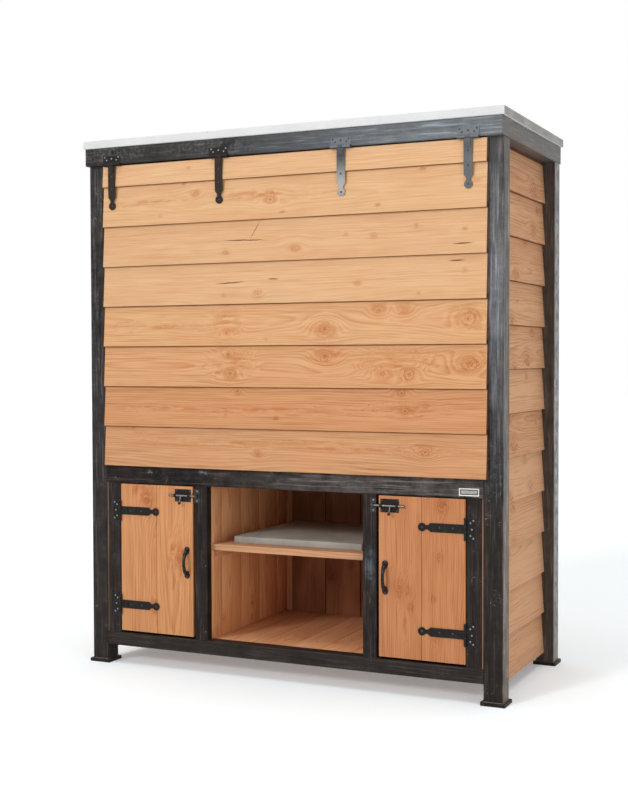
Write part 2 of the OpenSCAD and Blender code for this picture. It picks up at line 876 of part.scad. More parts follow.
module flap_board(k) color(larch) difference() {
    last = k == 8;
    translate([flap_left, face_y, flap_z + (k - 1) * flap_pitch])
        lapped_board(flap_w, last ? flap_top_board : flap_pitch + board_lap, flap_pitch, k > 1);
    for (x = flap_hinges) {
        at_flap_hinge(x) strap_screw_set(true, flap_screw_depth, strap_bend);
    }
}

module flap_battens() color(larch_dark) difference() {
    for (x = flap_hinges) {
        translate([x - flap_batten_w / 2, face_y, flap_batten_z])
            cube([flap_batten_w, flap_batten_t, flap_top - flap_batten_z]);
    }
    for (x = flap_hinges) {
        at_flap_hinge(x) strap_screw_set(true, flap_screw_depth, strap_bend);
    }
}

module flap_straps() color(iron) {
    for (x = flap_hinges) {
        at_flap_hinge(x) hinge_strap(strap_bend);
    }
}

module flap_screws() color(zinc) {
    for (x = flap_hinges) {
        at_flap_hinge(x) strap_screw_set(false, flap_screw_depth, strap_bend);
    }
}

// One door board with bevelled edges, standing on z = 0
module door_board(w, h) {
    b = door_bevel;
    linear_extrude(h) polygon([
        [b, 0], [w - b, 0], [w, b], [w, door_t - b], [w - b, door_t], [b, door_t], [0, door_t - b], [0, b]
    ]);
}

module door_boards() {
    w = (door_w - board_gap / 2) / 2;
    difference() {
        for (x = [door_in_x, door_out_x - w]) {
            translate([x, face_y, door_z]) door_board(w, door_h);
        }
        for (z = door_hinges) {
            at_door_hinge(z) strap_screw_set(true, screw_wood, 0);
        }
        for (p = bolt_screws) {
            on_face(bolt_x + p[0], bolt_z + p[1]) screw_hole(screw_wood, 0.05);
        }
        for (dz = [-handle_screw, handle_screw]) {
            on_face(door_in_x + handle_inset, door_z + handle_height + dz) screw_hole(screw_wood, 0.05);
        }
    }
}

// Two ledges and the brace between them
module door_ledges() {
    y = face_y + door_t;
    l = door_w - 2 * ledge_inset;
    low = door_z + ledge_end;
    high = door_z + door_h - ledge_end - ledge_w;
    for (z = [low, high]) {
        translate([door_in_x + ledge_inset, y, z]) cube([l, ledge_t, ledge_w]);
    }
    translate([door_in_x + ledge_inset, y + ledge_t, 0]) rotate([90, 0, 0]) linear_extrude(ledge_t)
        polygon([[0, high], [ledge_w, high], [l, low + ledge_w], [l - ledge_w, low + ledge_w]]);
}

module door_straps() {
    for (z = door_hinges) {
        at_door_hinge(z) hinge_strap(0);
    }
}

module door_screws() {
    for (z = door_hinges) {
        at_door_hinge(z) strap_screw_set(false, screw_wood, 0);
    }
    for (p = bolt_screws) {
        on_face(bolt_x + p[0], bolt_z + p[1])
            translate([0, 0, bolt_plate_t]) screw(bolt_plate_t + screw_wood);
    }
    for (dz = [-handle_screw, handle_screw]) {
        on_face(door_in_x + handle_inset, door_z + handle_height + dz)
            translate([0, 0, handle_foot_t]) screw(handle_foot_t + screw_wood);
    }
}

// Bow of a handle: rings along a half ellipse, thick at the feet and slim in the middle
bow_rings = 20;
bow_sides = 12;
bow_half = handle_len / 2 - bow_end_inset;
bow_rise = handle_reach - bow_d / 2 - handle_foot_t + 1;

function bow_point(a) = [0, -bow_half * cos(a), handle_foot_t - 1 + bow_rise * sin(a)];
function bow_slope(a) = [0, bow_half * sin(a), bow_rise * cos(a)];
function bow_radius(a) = bow_d / 2 * (1 + 0.5 * pow(abs(cos(a)), 3));
function unit(v) = v / norm(v);
function bow_ring(a) = let (
        t = unit(bow_slope(a)),
        n = [0, -t[2], t[1]],
        r = bow_radius(a)
    ) [for (i = [0:bow_sides - 1]) let (q = 360 * i / bow_sides)
        bow_point(a) + r * (1.15 * cos(q) * [1, 0, 0] + sin(q) * n)];

module bow() {
    rings = [for (k = [0:bow_rings]) bow_ring(180 * k / bow_rings)];
    points = [for (ring = rings) each ring];
    side_faces = [for (k = [0:bow_rings - 1], i = [0:bow_sides - 1])
        let (a = k * bow_sides + i, b = k * bow_sides + (i + 1) % bow_sides)
        [a, b, b + bow_sides, a + bow_sides]];
    first = [for (i = [bow_sides - 1:-1:0]) i];
    last = [for (i = [0:bow_sides - 1]) bow_rings * bow_sides + i];
    polyhedron(points, concat([first, last], side_faces));
}

module handle_foot(s) {
    out = handle_len / 2 - handle_foot_r;
    hull() {
        translate([0, s * out, 0]) cylinder(h = handle_foot_t, r = handle_foot_r);
        translate([0, s * (bow_half - 3), 0]) cylinder(h = handle_foot_t, r = handle_foot_r * 0.7);
    }
}

module handle() {
    on_face(door_in_x + handle_inset, door_z + handle_height) difference() {
        union() {
            bow();
            handle_foot(-1);
            handle_foot(1);
        }
        for (dz = [-handle_screw, handle_screw]) {
            translate([0, dz, handle_foot_t]) screw_hole(handle_foot_t, screw_play);
        }
        translate([-bow_d, -handle_len, -bow_d]) cube([2 * bow_d, 2 * handle_len, bow_d]);
    }
}

module bolt_guide() {
    on_face(bolt_x, bolt_z) difference() {
        union() {
            translate([0, -bolt_plate_h / 2, 0]) linear_extrude(bolt_plate_t)
                rounded_rect(bolt_plate_l, bolt_plate_h, 3);
            for (x = [0, bolt_plate_l - guide_len]) {
                translate([x, 0, 0]) rod_guide(guide_len, rod_play);
            }
        }
        for (p = bolt_screws) {
            translate([p[0], p[1], bolt_plate_t]) screw_hole(bolt_plate_t, screw_play);
        }
    }
}

// The rod with its finger lever, which hangs down and leans out
module bolt_rod() {
    on_face(0, bolt_z) {
        translate([rod_start, 0, rod_stand]) rotate([0, 90, 0]) cylinder(h = rod_len, r = rod_r);
        translate([lever_x, 0, rod_stand]) rotate([90 - lever_lean, 0, 0]) {
            cylinder(h = lever_len, r = lever_r);
            translate([0, 0, lever_len]) sphere(r = lever_ball);
        }
    }
}

foot_plates();
front_posts();
rear_posts();
front_top_beam();
rear_top_beam();
side_top_beams();
beam_end_caps();
front_mid_rail();
rear_mid_rail();
side_mid_rails();
front_bottom_rail();
rear_bottom_rail();
side_bottom_rails();
door_jambs();
jamb_fillers();
roof_slab();
left_cladding();
right_cladding();
rear_cladding();
cladding_battens();
worktop();
floor_bearers();
floor_boards();
bay_left_wall();
bay_right_wall();
bay_back_wall();
bay_shelf();
shelf_cleats();
stone_slab();
blank_plate();
flap_hinge_plates();
door_hinge_plates();
hinge_pins();
frame_screws();
bolt_keepers();
flap_board(1);  // flap_board_1
flap_board(2);  // flap_board_2
flap_board(3);  // flap_board_3
flap_board(4);  // flap_board_4
flap_board(5);  // flap_board_5
flap_board(6);  // flap_board_6
flap_board(7);  // flap_board_7
flap_board(8);  // flap_board_8
flap_battens();
flap_straps();
flap_screws();
color(larch) on_side(-1) door_boards();  // left_door_boards
color(larch_dark) on_side(-1) door_ledges();  // left_door_ledges
color(iron) on_side(-1) door_straps();  // left_door_straps
color(iron) on_side(-1) handle();  // left_door_handle
color(iron) on_side(-1) bolt_guide();  // left_bolt_guide
color(zinc) on_side(-1) door_screws();  // left_door_screws
color(zinc) on_side(-1) bolt_rod();  // left_bolt
color(larch) on_side(1) door_boards();  // right_door_boards
color(larch_dark) on_side(1) door_ledges();  // right_door_ledges
color(iron) on_side(1) door_straps();  // right_door_straps
color(iron) on_side(1) handle();  // right_door_handle
color(iron) on_side(1) bolt_guide();  // right_bolt_guide
color(zinc) on_side(1) door_screws();  // right_door_screws
color(zinc) on_side(1) bolt_rod();  // right_bolt
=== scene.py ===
import json
import math
import random

import bmesh
import bpy
from mathutils import Matrix, Vector

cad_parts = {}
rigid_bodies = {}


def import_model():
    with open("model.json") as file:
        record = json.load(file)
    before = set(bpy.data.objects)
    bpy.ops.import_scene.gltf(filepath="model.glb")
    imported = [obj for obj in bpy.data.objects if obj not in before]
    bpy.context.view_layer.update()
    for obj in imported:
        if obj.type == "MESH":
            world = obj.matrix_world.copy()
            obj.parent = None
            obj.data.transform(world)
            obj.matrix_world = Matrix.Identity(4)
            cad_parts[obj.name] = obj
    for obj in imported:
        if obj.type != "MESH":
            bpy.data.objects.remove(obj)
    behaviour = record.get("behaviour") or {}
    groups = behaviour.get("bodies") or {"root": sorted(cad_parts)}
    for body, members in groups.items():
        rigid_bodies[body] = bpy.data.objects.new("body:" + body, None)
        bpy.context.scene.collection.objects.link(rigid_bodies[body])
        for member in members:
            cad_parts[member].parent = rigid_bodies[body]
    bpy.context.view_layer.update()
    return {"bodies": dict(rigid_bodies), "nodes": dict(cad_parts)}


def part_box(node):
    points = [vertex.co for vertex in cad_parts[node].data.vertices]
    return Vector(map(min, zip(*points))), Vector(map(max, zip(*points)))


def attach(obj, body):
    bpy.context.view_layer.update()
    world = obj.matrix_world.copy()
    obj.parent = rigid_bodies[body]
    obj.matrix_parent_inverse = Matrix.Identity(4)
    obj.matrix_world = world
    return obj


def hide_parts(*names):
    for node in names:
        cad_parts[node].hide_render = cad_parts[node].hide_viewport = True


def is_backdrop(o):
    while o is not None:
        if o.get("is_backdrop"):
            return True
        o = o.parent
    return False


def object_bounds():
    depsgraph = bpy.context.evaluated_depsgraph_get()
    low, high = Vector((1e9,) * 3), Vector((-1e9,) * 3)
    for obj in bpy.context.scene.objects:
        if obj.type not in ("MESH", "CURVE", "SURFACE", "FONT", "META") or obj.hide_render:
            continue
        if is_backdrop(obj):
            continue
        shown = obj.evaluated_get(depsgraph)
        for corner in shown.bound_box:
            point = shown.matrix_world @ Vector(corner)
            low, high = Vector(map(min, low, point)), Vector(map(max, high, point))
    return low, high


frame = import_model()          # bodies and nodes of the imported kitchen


# Shader helpers: a socket takes another node's output, a number, a vector or a colour

def feed(tree, socket, value):
    if isinstance(value, bpy.types.NodeSocket):
        tree.links.new(value, socket)
    elif socket.type == "RGBA" and len(value) == 3:
        socket.default_value = (*value, 1.0)
    else:
        socket.default_value = value


def calc(tree, operation, *values, clamp=False):
    node = tree.nodes.new("ShaderNodeMath")
    node.operation = operation
    node.use_clamp = clamp
    for socket, value in zip(node.inputs, values):
        feed(tree, socket, value)
    return node.outputs[0]


def plus(tree, a, b, clamp=False):
    return calc(tree, "ADD", a, b, clamp=clamp)


def minus(tree, a, b):
    return calc(tree, "SUBTRACT", a, b)


def times(tree, a, b):
    return calc(tree, "MULTIPLY", a, b)


def over(tree, a, b):
    return calc(tree, "DIVIDE", a, b)


def scaled(tree, value, factor, offset):
    return calc(tree, "MULTIPLY_ADD", value, factor, offset)


def swing(tree, value, width):
    return scaled(tree, value, width, -width / 2)      # a noise of 0 to 1 swings about zero


def larger(tree, a, b):
    return calc(tree, "MAXIMUM", a, b)


def below(tree, a, b):
    return calc(tree, "LESS_THAN", a, b)


def apart(tree, a, b):
    return calc(tree, "ABSOLUTE", minus(tree, a, b))


def fade(tree, value):
    return calc(tree, "EXPONENT", times(tree, value, -1.0))


def vectorCalc(tree, operation, a, b=(0, 0, 0)):
    node = tree.nodes.new("ShaderNodeVectorMath")
    node.operation = operation
    feed(tree, node.inputs[0], a)
    feed(tree, node.inputs[1], b)
    return node.outputs["Value" if operation in ("DOT_PRODUCT", "LENGTH") else "Vector"]


def fromCentre(tree, inside):
    return vectorCalc(tree, "SUBTRACT", inside["Vector"], inside["Centre"])


def parts(tree, vector):
    node = tree.nodes.new("ShaderNodeSeparateXYZ")
    feed(tree, node.inputs[0], vector)
    return node.outputs[:]


def noise(tree, vector, stretch, detail=2.0, rough=0.5, warp=0.0):
    if isinstance(stretch, (int, float)):
        stretch = (stretch, stretch, stretch)
    node = tree.nodes.new("ShaderNodeTexNoise")
    feed(tree, node.inputs["Vector"], vectorCalc(tree, "MULTIPLY", vector, stretch))
    node.inputs["Scale"].default_value = 1.0
    node.inputs["Detail"].default_value = detail
    node.inputs["Roughness"].default_value = rough
    node.inputs["Distortion"].default_value = warp
    return node.outputs[0]


def ease(tree, value, low, high, bottom=0.0, top=1.0):
    node = tree.nodes.new("ShaderNodeMapRange")
    node.interpolation_type = "SMOOTHSTEP"
    for socket, item in zip(node.inputs, (value, low, high, bottom, top)):
        feed(tree, socket, item)
    return node.outputs[0]


def blend(tree, amount, a, b, kind="MIX"):
    node = tree.nodes.new("ShaderNodeMix")
    node.data_type = "RGBA"
    node.blend_type = kind
    feed(tree, node.inputs[0], amount)
    feed(tree, node.inputs[6], a)
    feed(tree, node.inputs[7], b)
    return node.outputs[2]


def newGroup(name, inputs, outputs):
    kinds = dict.fromkeys(("Vector", "Centre", "Reach", "Streak", "Tone"), "NodeSocketVector")
    kinds.update(dict.fromkeys(("Colour", "Light", "Dark"), "NodeSocketColor"))
    group = bpy.data.node_groups.new(name, "ShaderNodeTree")
    for way, labels in (("INPUT", inputs), ("OUTPUT", outputs)):
        for label in labels.split():
            kind = kinds.get(label, "NodeSocketFloat")
            group.interface.new_socket(name=label, in_out=way, socket_type=kind)
    inside = group.nodes.new("NodeGroupInput").outputs
    return group, inside["Vector"], inside, group.nodes.new("NodeGroupOutput").inputs


def useGroup(tree, name, **values):
    node = tree.nodes.new("ShaderNodeGroup")
    node.node_tree = bpy.data.node_groups[name]
    for label, value in values.items():
        feed(tree, node.inputs[label], value)
    return node.outputs


def newMaterial(name, **constants):
    material = bpy.data.materials.new(name)
    material.use_nodes = True
    tree = material.node_tree
    shader = tree.nodes["Principled BSDF"]
    for label, value in constants.items():
        shader.inputs[label.replace("_", " ")].default_value = value
    return material, tree, shader


def dress(tree, shader, colour, roughness, height, strength, distance):
    bump = tree.nodes.new("ShaderNodeBump")
    bump.inputs["Strength"].default_value = strength
    bump.inputs["Distance"].default_value = distance
    feed(tree, bump.inputs["Height"], height)
    feed(tree, shader.inputs["Base Color"], colour)
    feed(tree, shader.inputs["Roughness"], roughness)
    feed(tree, shader.inputs["Normal"], bump.outputs[0])


def objectPlace(tree):
    return tree.nodes.new("ShaderNodeTexCoord").outputs["Object"]


def attribute(tree, name, output="Vector"):
    node = tree.nodes.new("ShaderNodeAttribute")
    node.attribute_name = name
    return node.outputs[output]


# Shared effects. One knot bends the grain round it, and gives its rings and its halo
knotLook = {
    "along": 30.0, "across": 11.0,      # how far it bends the grain, by the square of its own size
    "raggedness": 1.2, "solid": 0.3,
    "rings": [(1.7, 0.35, 0.55), (2.6, 0.3, 0.3)],      # place, width and strength
    "haloAlong": 0.06, "haloAcross": 0.12,
}
tree, at, inside, out = newGroup("knotField", "Vector Centre Size Swirl", "Vector Core Halo Ring")
dx, dy = parts(tree, fromCentre(tree, inside))[:2]
ux = over(tree, dx, inside["Size"])
uy = over(tree, dy, inside["Size"])
ux2 = times(tree, ux, ux)
uy2 = times(tree, uy, uy)
reach = plus(tree, over(tree, ux2, knotLook["along"]), over(tree, uy2, knotLook["across"]))
reach = over(tree, reach, times(tree, inside["Swirl"], inside["Swirl"]))
moved = tree.nodes.new("ShaderNodeCombineXYZ")
feed(tree, moved.inputs["Y"], times(tree, dy, fade(tree, reach)))
feed(tree, out["Vector"], vectorCalc(tree, "SUBTRACT", at, moved.outputs[0]))
away = calc(tree, "SQRT", plus(tree, times(tree, ux2, 0.7), uy2))
ragged = plus(tree, away, swing(tree, noise(tree, at, 130), knotLook["raggedness"]))
core = times(tree, ease(tree, ragged, 1.2, 0.5), knotLook["solid"])
core = larger(tree, core, ease(tree, ragged, 0.55, 0.15))
for radius, width, strength in knotLook["rings"]:
    rim = ease(tree, apart(tree, ragged, radius), width, 0.0)
    core = larger(tree, core, times(tree, rim, strength))
feed(tree, out["Core"], core)
feed(tree, out["Ring"], times(tree, ragged, inside["Size"]))
halo = plus(tree, times(tree, ux2, knotLook["haloAlong"]), times(tree, uy2, knotLook["haloAcross"]))
feed(tree, out["Halo"], fade(tree, halo))

# Knots strewn at random: one to a cell, and many cells have none
strewnLook = {"cell": (0.3, 0.16, 1.0), "scatter": 0.8, "smallest": 0.0004}
tree, at, inside, out = newGroup("strewnKnots", "Vector Share Largest", "Vector Core Halo Ring")
cell = strewnLook["cell"]
cells = tree.nodes.new("ShaderNodeTexVoronoi")
cells.voronoi_dimensions = "2D"
cells.inputs["Scale"].default_value = 1.0
cells.inputs["Randomness"].default_value = strewnLook["scatter"]
flat = vectorCalc(tree, "MULTIPLY", at, (1 / cell[0], 1 / cell[1], 0.0))
feed(tree, cells.inputs["Vector"], flat)
luck, girth = parts(tree, cells.outputs["Color"])[:2]
there = below(tree, luck, inside["Share"])
size = times(tree, ease(tree, girth, -0.4, 1.1), inside["Largest"])
size = plus(tree, times(tree, size, there), strewnLook["smallest"])
middle = vectorCalc(tree, "MULTIPLY", cells.outputs["Position"], cell)
found = useGroup(tree, "knotField", Vector=at, Centre=middle, Size=size, Swirl=1.0)
for label in ("Vector", "Ring"):
    feed(tree, out[label], found[label])
for label in ("Core", "Halo"):
    feed(tree, out[label], times(tree, found[label], there))

# A drying check: a thin dark slit that leans a little
checkLook = {"width": 0.0022, "wander": 0.008}
tree, at, inside, out = newGroup("checkMark", "Vector Centre Length Lean", "Slit")
dx, dy = parts(tree, fromCentre(tree, inside))[:2]
wander = swing(tree, noise(tree, at, 22), checkLook["wander"])
line = plus(tree, minus(tree, dy, times(tree, dx, inside["Lean"])), wander)
along = over(tree, calc(tree, "ABSOLUTE", dx), inside["Length"])
width = times(tree, ease(tree, along, 0.5, 0.1), checkLook["width"])
feed(tree, out["Slit"], below(tree, calc(tree, "ABSOLUTE", line), width))

# Sawn larch: growth rings cut by the board, fibres, and the colour of knots and checks
grainLook = {
    "bend": 0.044, "rise": 0.12, "curl": 0.016, "wobble": 0.004,      # how far the rings stray, in metres
    "pink": (0.66, 0.29, 0.14), "pinkMost": 0.28,
    "marks": {      # strength, colour and how it is laid over the wood
        "Halo": (0.45, (0.86, 0.64, 0.48), "MULTIPLY"), "Core": (0.42, (0.46, 0.23, 0.13), "MULTIPLY"),
        # Slit lays the drying checks and the painted shade of the lap band; Cut darkens the end grain and
        # the sawn lower edges, partly their own colour and partly painted shade
        "Slit": (0.94, (0.1, 0.024, 0.005), "MIX"), "Cut": (1.0, (0.2, 0.085, 0.03), "MULTIPLY")},
    "roughness": 0.66,
}
woodInputs = "Vector Tone Core Halo Ring Slit Cut Light Dark RingWidth HeartDepth Contrast"
tree, at, inside, out = newGroup("woodGrain", woodInputs, "Colour Roughness Height")
toneShade, toneHeart, toneHue = parts(tree, inside["Tone"])
py, pz = parts(tree, at)[1:]
bend = swing(tree, noise(tree, at, (1.3, 4, 4), detail=3), grainLook["bend"])
rise = swing(tree, noise(tree, at, (0.9, 1.2, 1.2), detail=1), grainLook["rise"])
curl = swing(tree, noise(tree, at, (26, 60, 60), detail=3), grainLook["curl"])
bend = plus(tree, bend, times(tree, curl, inside["Halo"]))
across = plus(tree, scaled(tree, toneHeart, 0.05, bend), py)
down = plus(tree, plus(tree, pz, inside["HeartDepth"]), rise)
radius = calc(tree, "SQRT", plus(tree, times(tree, across, across), times(tree, down, down)))
radius = plus(tree, radius, swing(tree, noise(tree, at, (6, 40, 40)), grainLook["wobble"]))
radius = plus(tree, radius, times(tree, inside["Ring"], inside["Halo"]))
phase = over(tree, radius, inside["RingWidth"])
turn = calc(tree, "FRACT", phase)
late = times(tree, ease(tree, turn, 0.15, 0.85), ease(tree, turn, 1.0, 0.88))
ringPick = tree.nodes.new("ShaderNodeTexWhiteNoise")
ringPick.noise_dimensions = "1D"
feed(tree, ringPick.inputs["W"], calc(tree, "FLOOR", phase))
late = times(tree, late, scaled(tree, ringPick.outputs["Value"], 0.65, 0.35))
fibre = noise(tree, at, (7, 260, 260), detail=4, rough=0.65)
streak = noise(tree, at, (1.3, 40, 40), detail=4, rough=0.6)
thread = noise(tree, at, (3.5, 120, 120), detail=2, rough=0.6)
cloud = noise(tree, at, (2.6, 9, 9), detail=3)
figure = scaled(tree, inside["Contrast"], 1.4, 0.2)
amount = times(tree, late, scaled(tree, inside["Halo"], 0.45, inside["Contrast"]))
amount = plus(tree, amount, swing(tree, fibre, 1.0))
for band, strength in ((streak, 0.9), (thread, 1.3)):
    band = times(tree, minus(tree, band, 0.5), figure)
    amount = plus(tree, amount, times(tree, band, strength))
amount = plus(tree, amount, scaled(tree, toneShade, 0.22, 0.11), clamp=True)
body = blend(tree, amount, inside["Light"], inside["Dark"])
pinkness = ease(tree, cloud, 0.42, 0.72, 0.0, grainLook["pinkMost"])
pinkness = plus(tree, pinkness, times(tree, toneHue, 0.12), clamp=True)
body = blend(tree, pinkness, body, grainLook["pink"])
for label, (strength, colour, kind) in grainLook["marks"].items():
    body = blend(tree, times(tree, inside[label], strength), body, colour, kind)
feed(tree, out["Colour"], body)
feed(tree, out["Roughness"], scaled(tree, late, -0.1, grainLook["roughness"]))
height = plus(tree, times(tree, fibre, 0.5), times(tree, late, 0.35))
feed(tree, out["Height"], minus(tree, height, times(tree, inside["Slit"], 1.5)))

# Worn edges, partly bare wear and partly a painted highlight: 1 where the surface turns within a few
# millimetres, broken up by noise
tree, at, inside, out = newGroup("edgeWearAndGlint", "Vector Spread", "Mask")
rounding = tree.nodes.new("ShaderNodeBevel")
rounding.samples = 4
rounding.inputs["Radius"].default_value = 0.0025
facing = tree.nodes.new("ShaderNodeNewGeometry")
turned = minus(tree, 1.0, vectorCalc(tree, "DOT_PRODUCT", rounding.outputs[0], facing.outputs["Normal"]))
broken = ease(tree, noise(tree, at, 60, detail=4), inside["Spread"], 0.85)
feed(tree, out["Mask"], times(tree, ease(tree, turned, 0.02, 0.2), broken))

# Hot-rolled scale: strokes along the member, blots, dark lines, and a mask of chips and scratches
scaleLook = {"strokes": 2.6, "ground": 0.6, "darkest": 0.12, "chipScale": 46.0, "chipShare": 0.1}
tree, at, inside, out = newGroup("millScale", "Vector Streak Flecks Force", "Shade Flecks Roughness Height")
along = vectorCalc(tree, "MULTIPLY", at, inside["Streak"])
broad = noise(tree, along, 0.35, detail=3, rough=0.6)
thin = noise(tree, along, 3.8, detail=3, rough=0.65)
darkLines = noise(tree, vectorCalc(tree, "ADD", along, (7, 3, 5)), 1.6, detail=2)
blots = noise(tree, at, 16, detail=5, rough=0.65)
fine = noise(tree, at, 150, detail=3)
strokes = times(tree, ease(tree, thin, 0.49, 0.7), ease(tree, broad, 0.36, 0.64, 0.45, 1.0))
shade = scaled(tree, strokes, scaleLook["strokes"], scaleLook["ground"])
shade = minus(tree, shade, ease(tree, darkLines, 0.54, 0.68, 0.0, 0.35))
shade = plus(tree, shade, ease(tree, blots, 0.3, 0.7, -0.25, 0.35))
shade = plus(tree, shade, swing(tree, fine, 0.3))
shade = scaled(tree, minus(tree, shade, 1.0), inside["Force"], 1.0)
feed(tree, out["Shade"], larger(tree, shade, scaleLook["darkest"]))
dots = tree.nodes.new("ShaderNodeTexVoronoi")
dots.inputs["Scale"].default_value = scaleLook["chipScale"]
feed(tree, dots.inputs["Vector"], at)
luck, girth = parts(tree, dots.outputs["Color"])[:2]
chips = below(tree, dots.outputs["Distance"], scaled(tree, girth, 0.1, 0.04))
chips = times(tree, chips, below(tree, luck, times(tree, inside["Flecks"], scaleLook["chipShare"])))
veins = noise(tree, at, 15, detail=2, warp=1.6)
scratch = ease(tree, apart(tree, veins, 0.5), 0.01, 0.002)
scratch = times(tree, scratch, ease(tree, blots, 0.54, 0.66, 0.0, 0.6))
scratch = times(tree, scratch, ease(tree, fine, 0.4, 0.58))
scratch = times(tree, scratch, inside["Flecks"])
feed(tree, out["Flecks"], larger(tree, times(tree, chips, 0.8), scratch))
feed(tree, out["Roughness"], scaled(tree, fine, 0.18, 0.34))
feed(tree, out["Height"], plus(tree, times(tree, fine, 0.4), times(tree, thin, 0.6)))

# A soft patch of another tone, round a place: painted sheen, highlight and shade on the steel and
# the straps, and real stains on the wood
tree, at, inside, out = newGroup("glowField", "Vector Centre Reach", "Mask")
offset = vectorCalc(tree, "DIVIDE", fromCentre(tree, inside), inside["Reach"])
feed(tree, out["Mask"], fade(tree, vectorCalc(tree, "DOT_PRODUCT", offset, offset)))

# A torn patch, such as a rubbed mark or clean scale, round a place
tree, at, inside, out = newGroup("patchField", "Vector Centre Reach Fine", "Mask")
offset = vectorCalc(tree, "DIVIDE", fromCentre(tree, inside), inside["Reach"])
torn = noise(tree, at, inside["Fine"], detail=4, rough=0.6)
soft = ease(tree, vectorCalc(tree, "LENGTH", offset), 1.1, 0.2)
feed(tree, out["Mask"], times(tree, soft, ease(tree, torn, 0.42, 0.62)))

# Mineral: a mottled body with grit and small pits, for the roof board and the stone
pitColour = (0.12, 0.11, 0.1)
tree, at, inside, out = newGroup("mineral", "Vector Light Dark Grit Mottle", "Colour Roughness Height")
gritAt = vectorCalc(tree, "MULTIPLY", at, inside["Grit"])
mottle = noise(tree, at, inside["Mottle"], detail=6, rough=0.6)
grit = noise(tree, gritAt, 1, detail=3, rough=0.7)
pits = ease(tree, noise(tree, gritAt, 0.35, detail=2), 0.72, 0.76)
body = blend(tree, ease(tree, mottle, 0.3, 0.7), inside["Light"], inside["Dark"])
body = blend(tree, ease(tree, grit, 0.55, 0.8, 0.0, 0.45), body, inside["Dark"])
feed(tree, out["Colour"], blend(tree, times(tree, pits, 0.5), body, pitColour))
feed(tree, out["Roughness"], scaled(tree, grit, 0.2, 0.68))
feed(tree, out["Height"], minus(tree, times(tree, grit, 0.7), pits))
print("shared effects made")

# Wood. The colours are for a plain board; each board's own tint and contrast come on top
woodLook = {
    "flap": {"light": (0.8, 0.535, 0.3), "dark": (0.58, 0.285, 0.115), "rings": 0.0085, "contrast": 0.42},
    "door": {"light": (0.72, 0.355, 0.15), "dark": (0.42, 0.15, 0.05), "rings": 0.008, "contrast": 0.7},
    "clad": {"light": (0.76, 0.455, 0.25), "dark": (0.48, 0.21, 0.095), "rings": 0.009, "contrast": 0.62},
    "inner": {"light": (0.72, 0.37, 0.185), "dark": (0.46, 0.2, 0.085), "rings": 0.0075, "contrast": 0.55},
}
woodGloss = 0.18
lapShadow = {"wide": 0.0055, "strength": 0.97}      # the dark line where a board tucks under the next
stainLook = {"stretch": (14, 60, 60), "strength": 1.7}


def woodMaterial(name, look, knots=(), checks=(), stains=(), strewn=0.5, largest=0.011, heartDepth=0.05,
                 tint=(1, 1, 1), lap=None, lapWide=lapShadow["wide"], contrast=None):
    material, tree, shader = newMaterial(name, Specular_IOR_Level=woodGloss)
    board = place = attribute(tree, "grainAt")
    core = halo = ring = slitAndLapShade = 0.0
    if strewn > 0:
        found = useGroup(tree, "strewnKnots", Vector=place, Share=strewn, Largest=largest)
        place, core, halo, ring = found["Vector"], found["Core"], found["Halo"], found["Ring"]
    for x, y, size, swirl in knots:
        found = useGroup(tree, "knotField", Vector=place, Centre=(x, y, 0.0), Size=size, Swirl=swirl)
        place = found["Vector"]
        core = larger(tree, core, found["Core"])
        halo = larger(tree, halo, found["Halo"])
        ring = calc(tree, "MINIMUM", ring, found["Ring"]) if ring else found["Ring"]
    for x, y, length, width in stains:
        found = useGroup(tree, "glowField", Vector=board, Centre=(x, y, 0.0), Reach=(length, width, 1.0))
        torn = ease(tree, noise(tree, board, stainLook["stretch"], detail=4), 0.4, 0.62)
        torn = times(tree, torn, stainLook["strength"])
        halo = larger(tree, halo, times(tree, found["Mask"], torn))
    # painted shade: a dark band where the next board covers this one; the drying checks below are the
    # boards' own
    if lap:
        slitAndLapShade = ease(tree, parts(tree, board)[1], lap - lapWide, lap, 0.0, lapShadow["strength"])
    for x, y, length, lean in checks:
        found = useGroup(tree, "checkMark", Vector=board, Centre=(x, y, 0.0), Length=length, Lean=lean)
        slitAndLapShade = larger(tree, slitAndLapShade, found["Slit"])
    colours = woodLook[look]
    light, dark = ([c * t for c, t in zip(colours[shade], tint)] for shade in ("light", "dark"))
    grain = useGroup(tree, "woodGrain", Vector=place, Tone=attribute(tree, "boardTone"), Core=core,
                     Halo=halo, Ring=ring, Slit=slitAndLapShade, Cut=attribute(tree, "cutFace", "Fac"), Light=light,
                     Dark=dark, RingWidth=colours["rings"], HeartDepth=heartDepth,
                     Contrast=contrast or colours["contrast"])
    dress(tree, shader, grain["Colour"], grain["Roughness"], grain["Height"], 0.25, 0.0008)
    return material


innerWood = woodMaterial("innerWood", "inner")
# the bay's back wall: partly the boards' own darker colour, partly painted shade
darkShadedBackWood = woodMaterial("darkShadedBackWood", "inner", tint=(0.34, 0.27, 0.25))
shelfWood = woodMaterial("shelfWood", "inner", tint=(0.84, 0.89, 0.96))
stripWood = woodMaterial("stripWood", "inner", strewn=0.0, tint=(0.16, 0.19, 0.2))
# painted light: the bay's left wall lighter, where light falls into the bay
paintedLitInner = woodMaterial("paintedLitInner", "inner", tint=(1.22, 1.2, 1.12))
cladLap = 0.0803      # from a board's middle to where the next one covers it
cladWood = woodMaterial("cladWood", "clad", strewn=0.75, largest=0.013, heartDepth=0.035, lap=cladLap,
                        tint=(0.99, 0.905, 0.87))


# Frame steel: a ground tone with scale that runs along the member, glows and torn patches; the glows
# are painted sheen, highlight and reflection

def glow(at, reach, colour):
    return {"at": at, "reach": reach, "colour": colour}


def patch(at, reach, fine, strength, colour):
    return {"at": at, "reach": reach, "fine": fine, "strength": strength, "colour": colour}


def withGlows(tree, place, colour, glows):
    for item in glows:
        found = useGroup(tree, "glowField", Vector=place, Centre=item["at"], Reach=item["reach"])
        colour = blend(tree, found["Mask"], colour, item["colour"])
    return colour


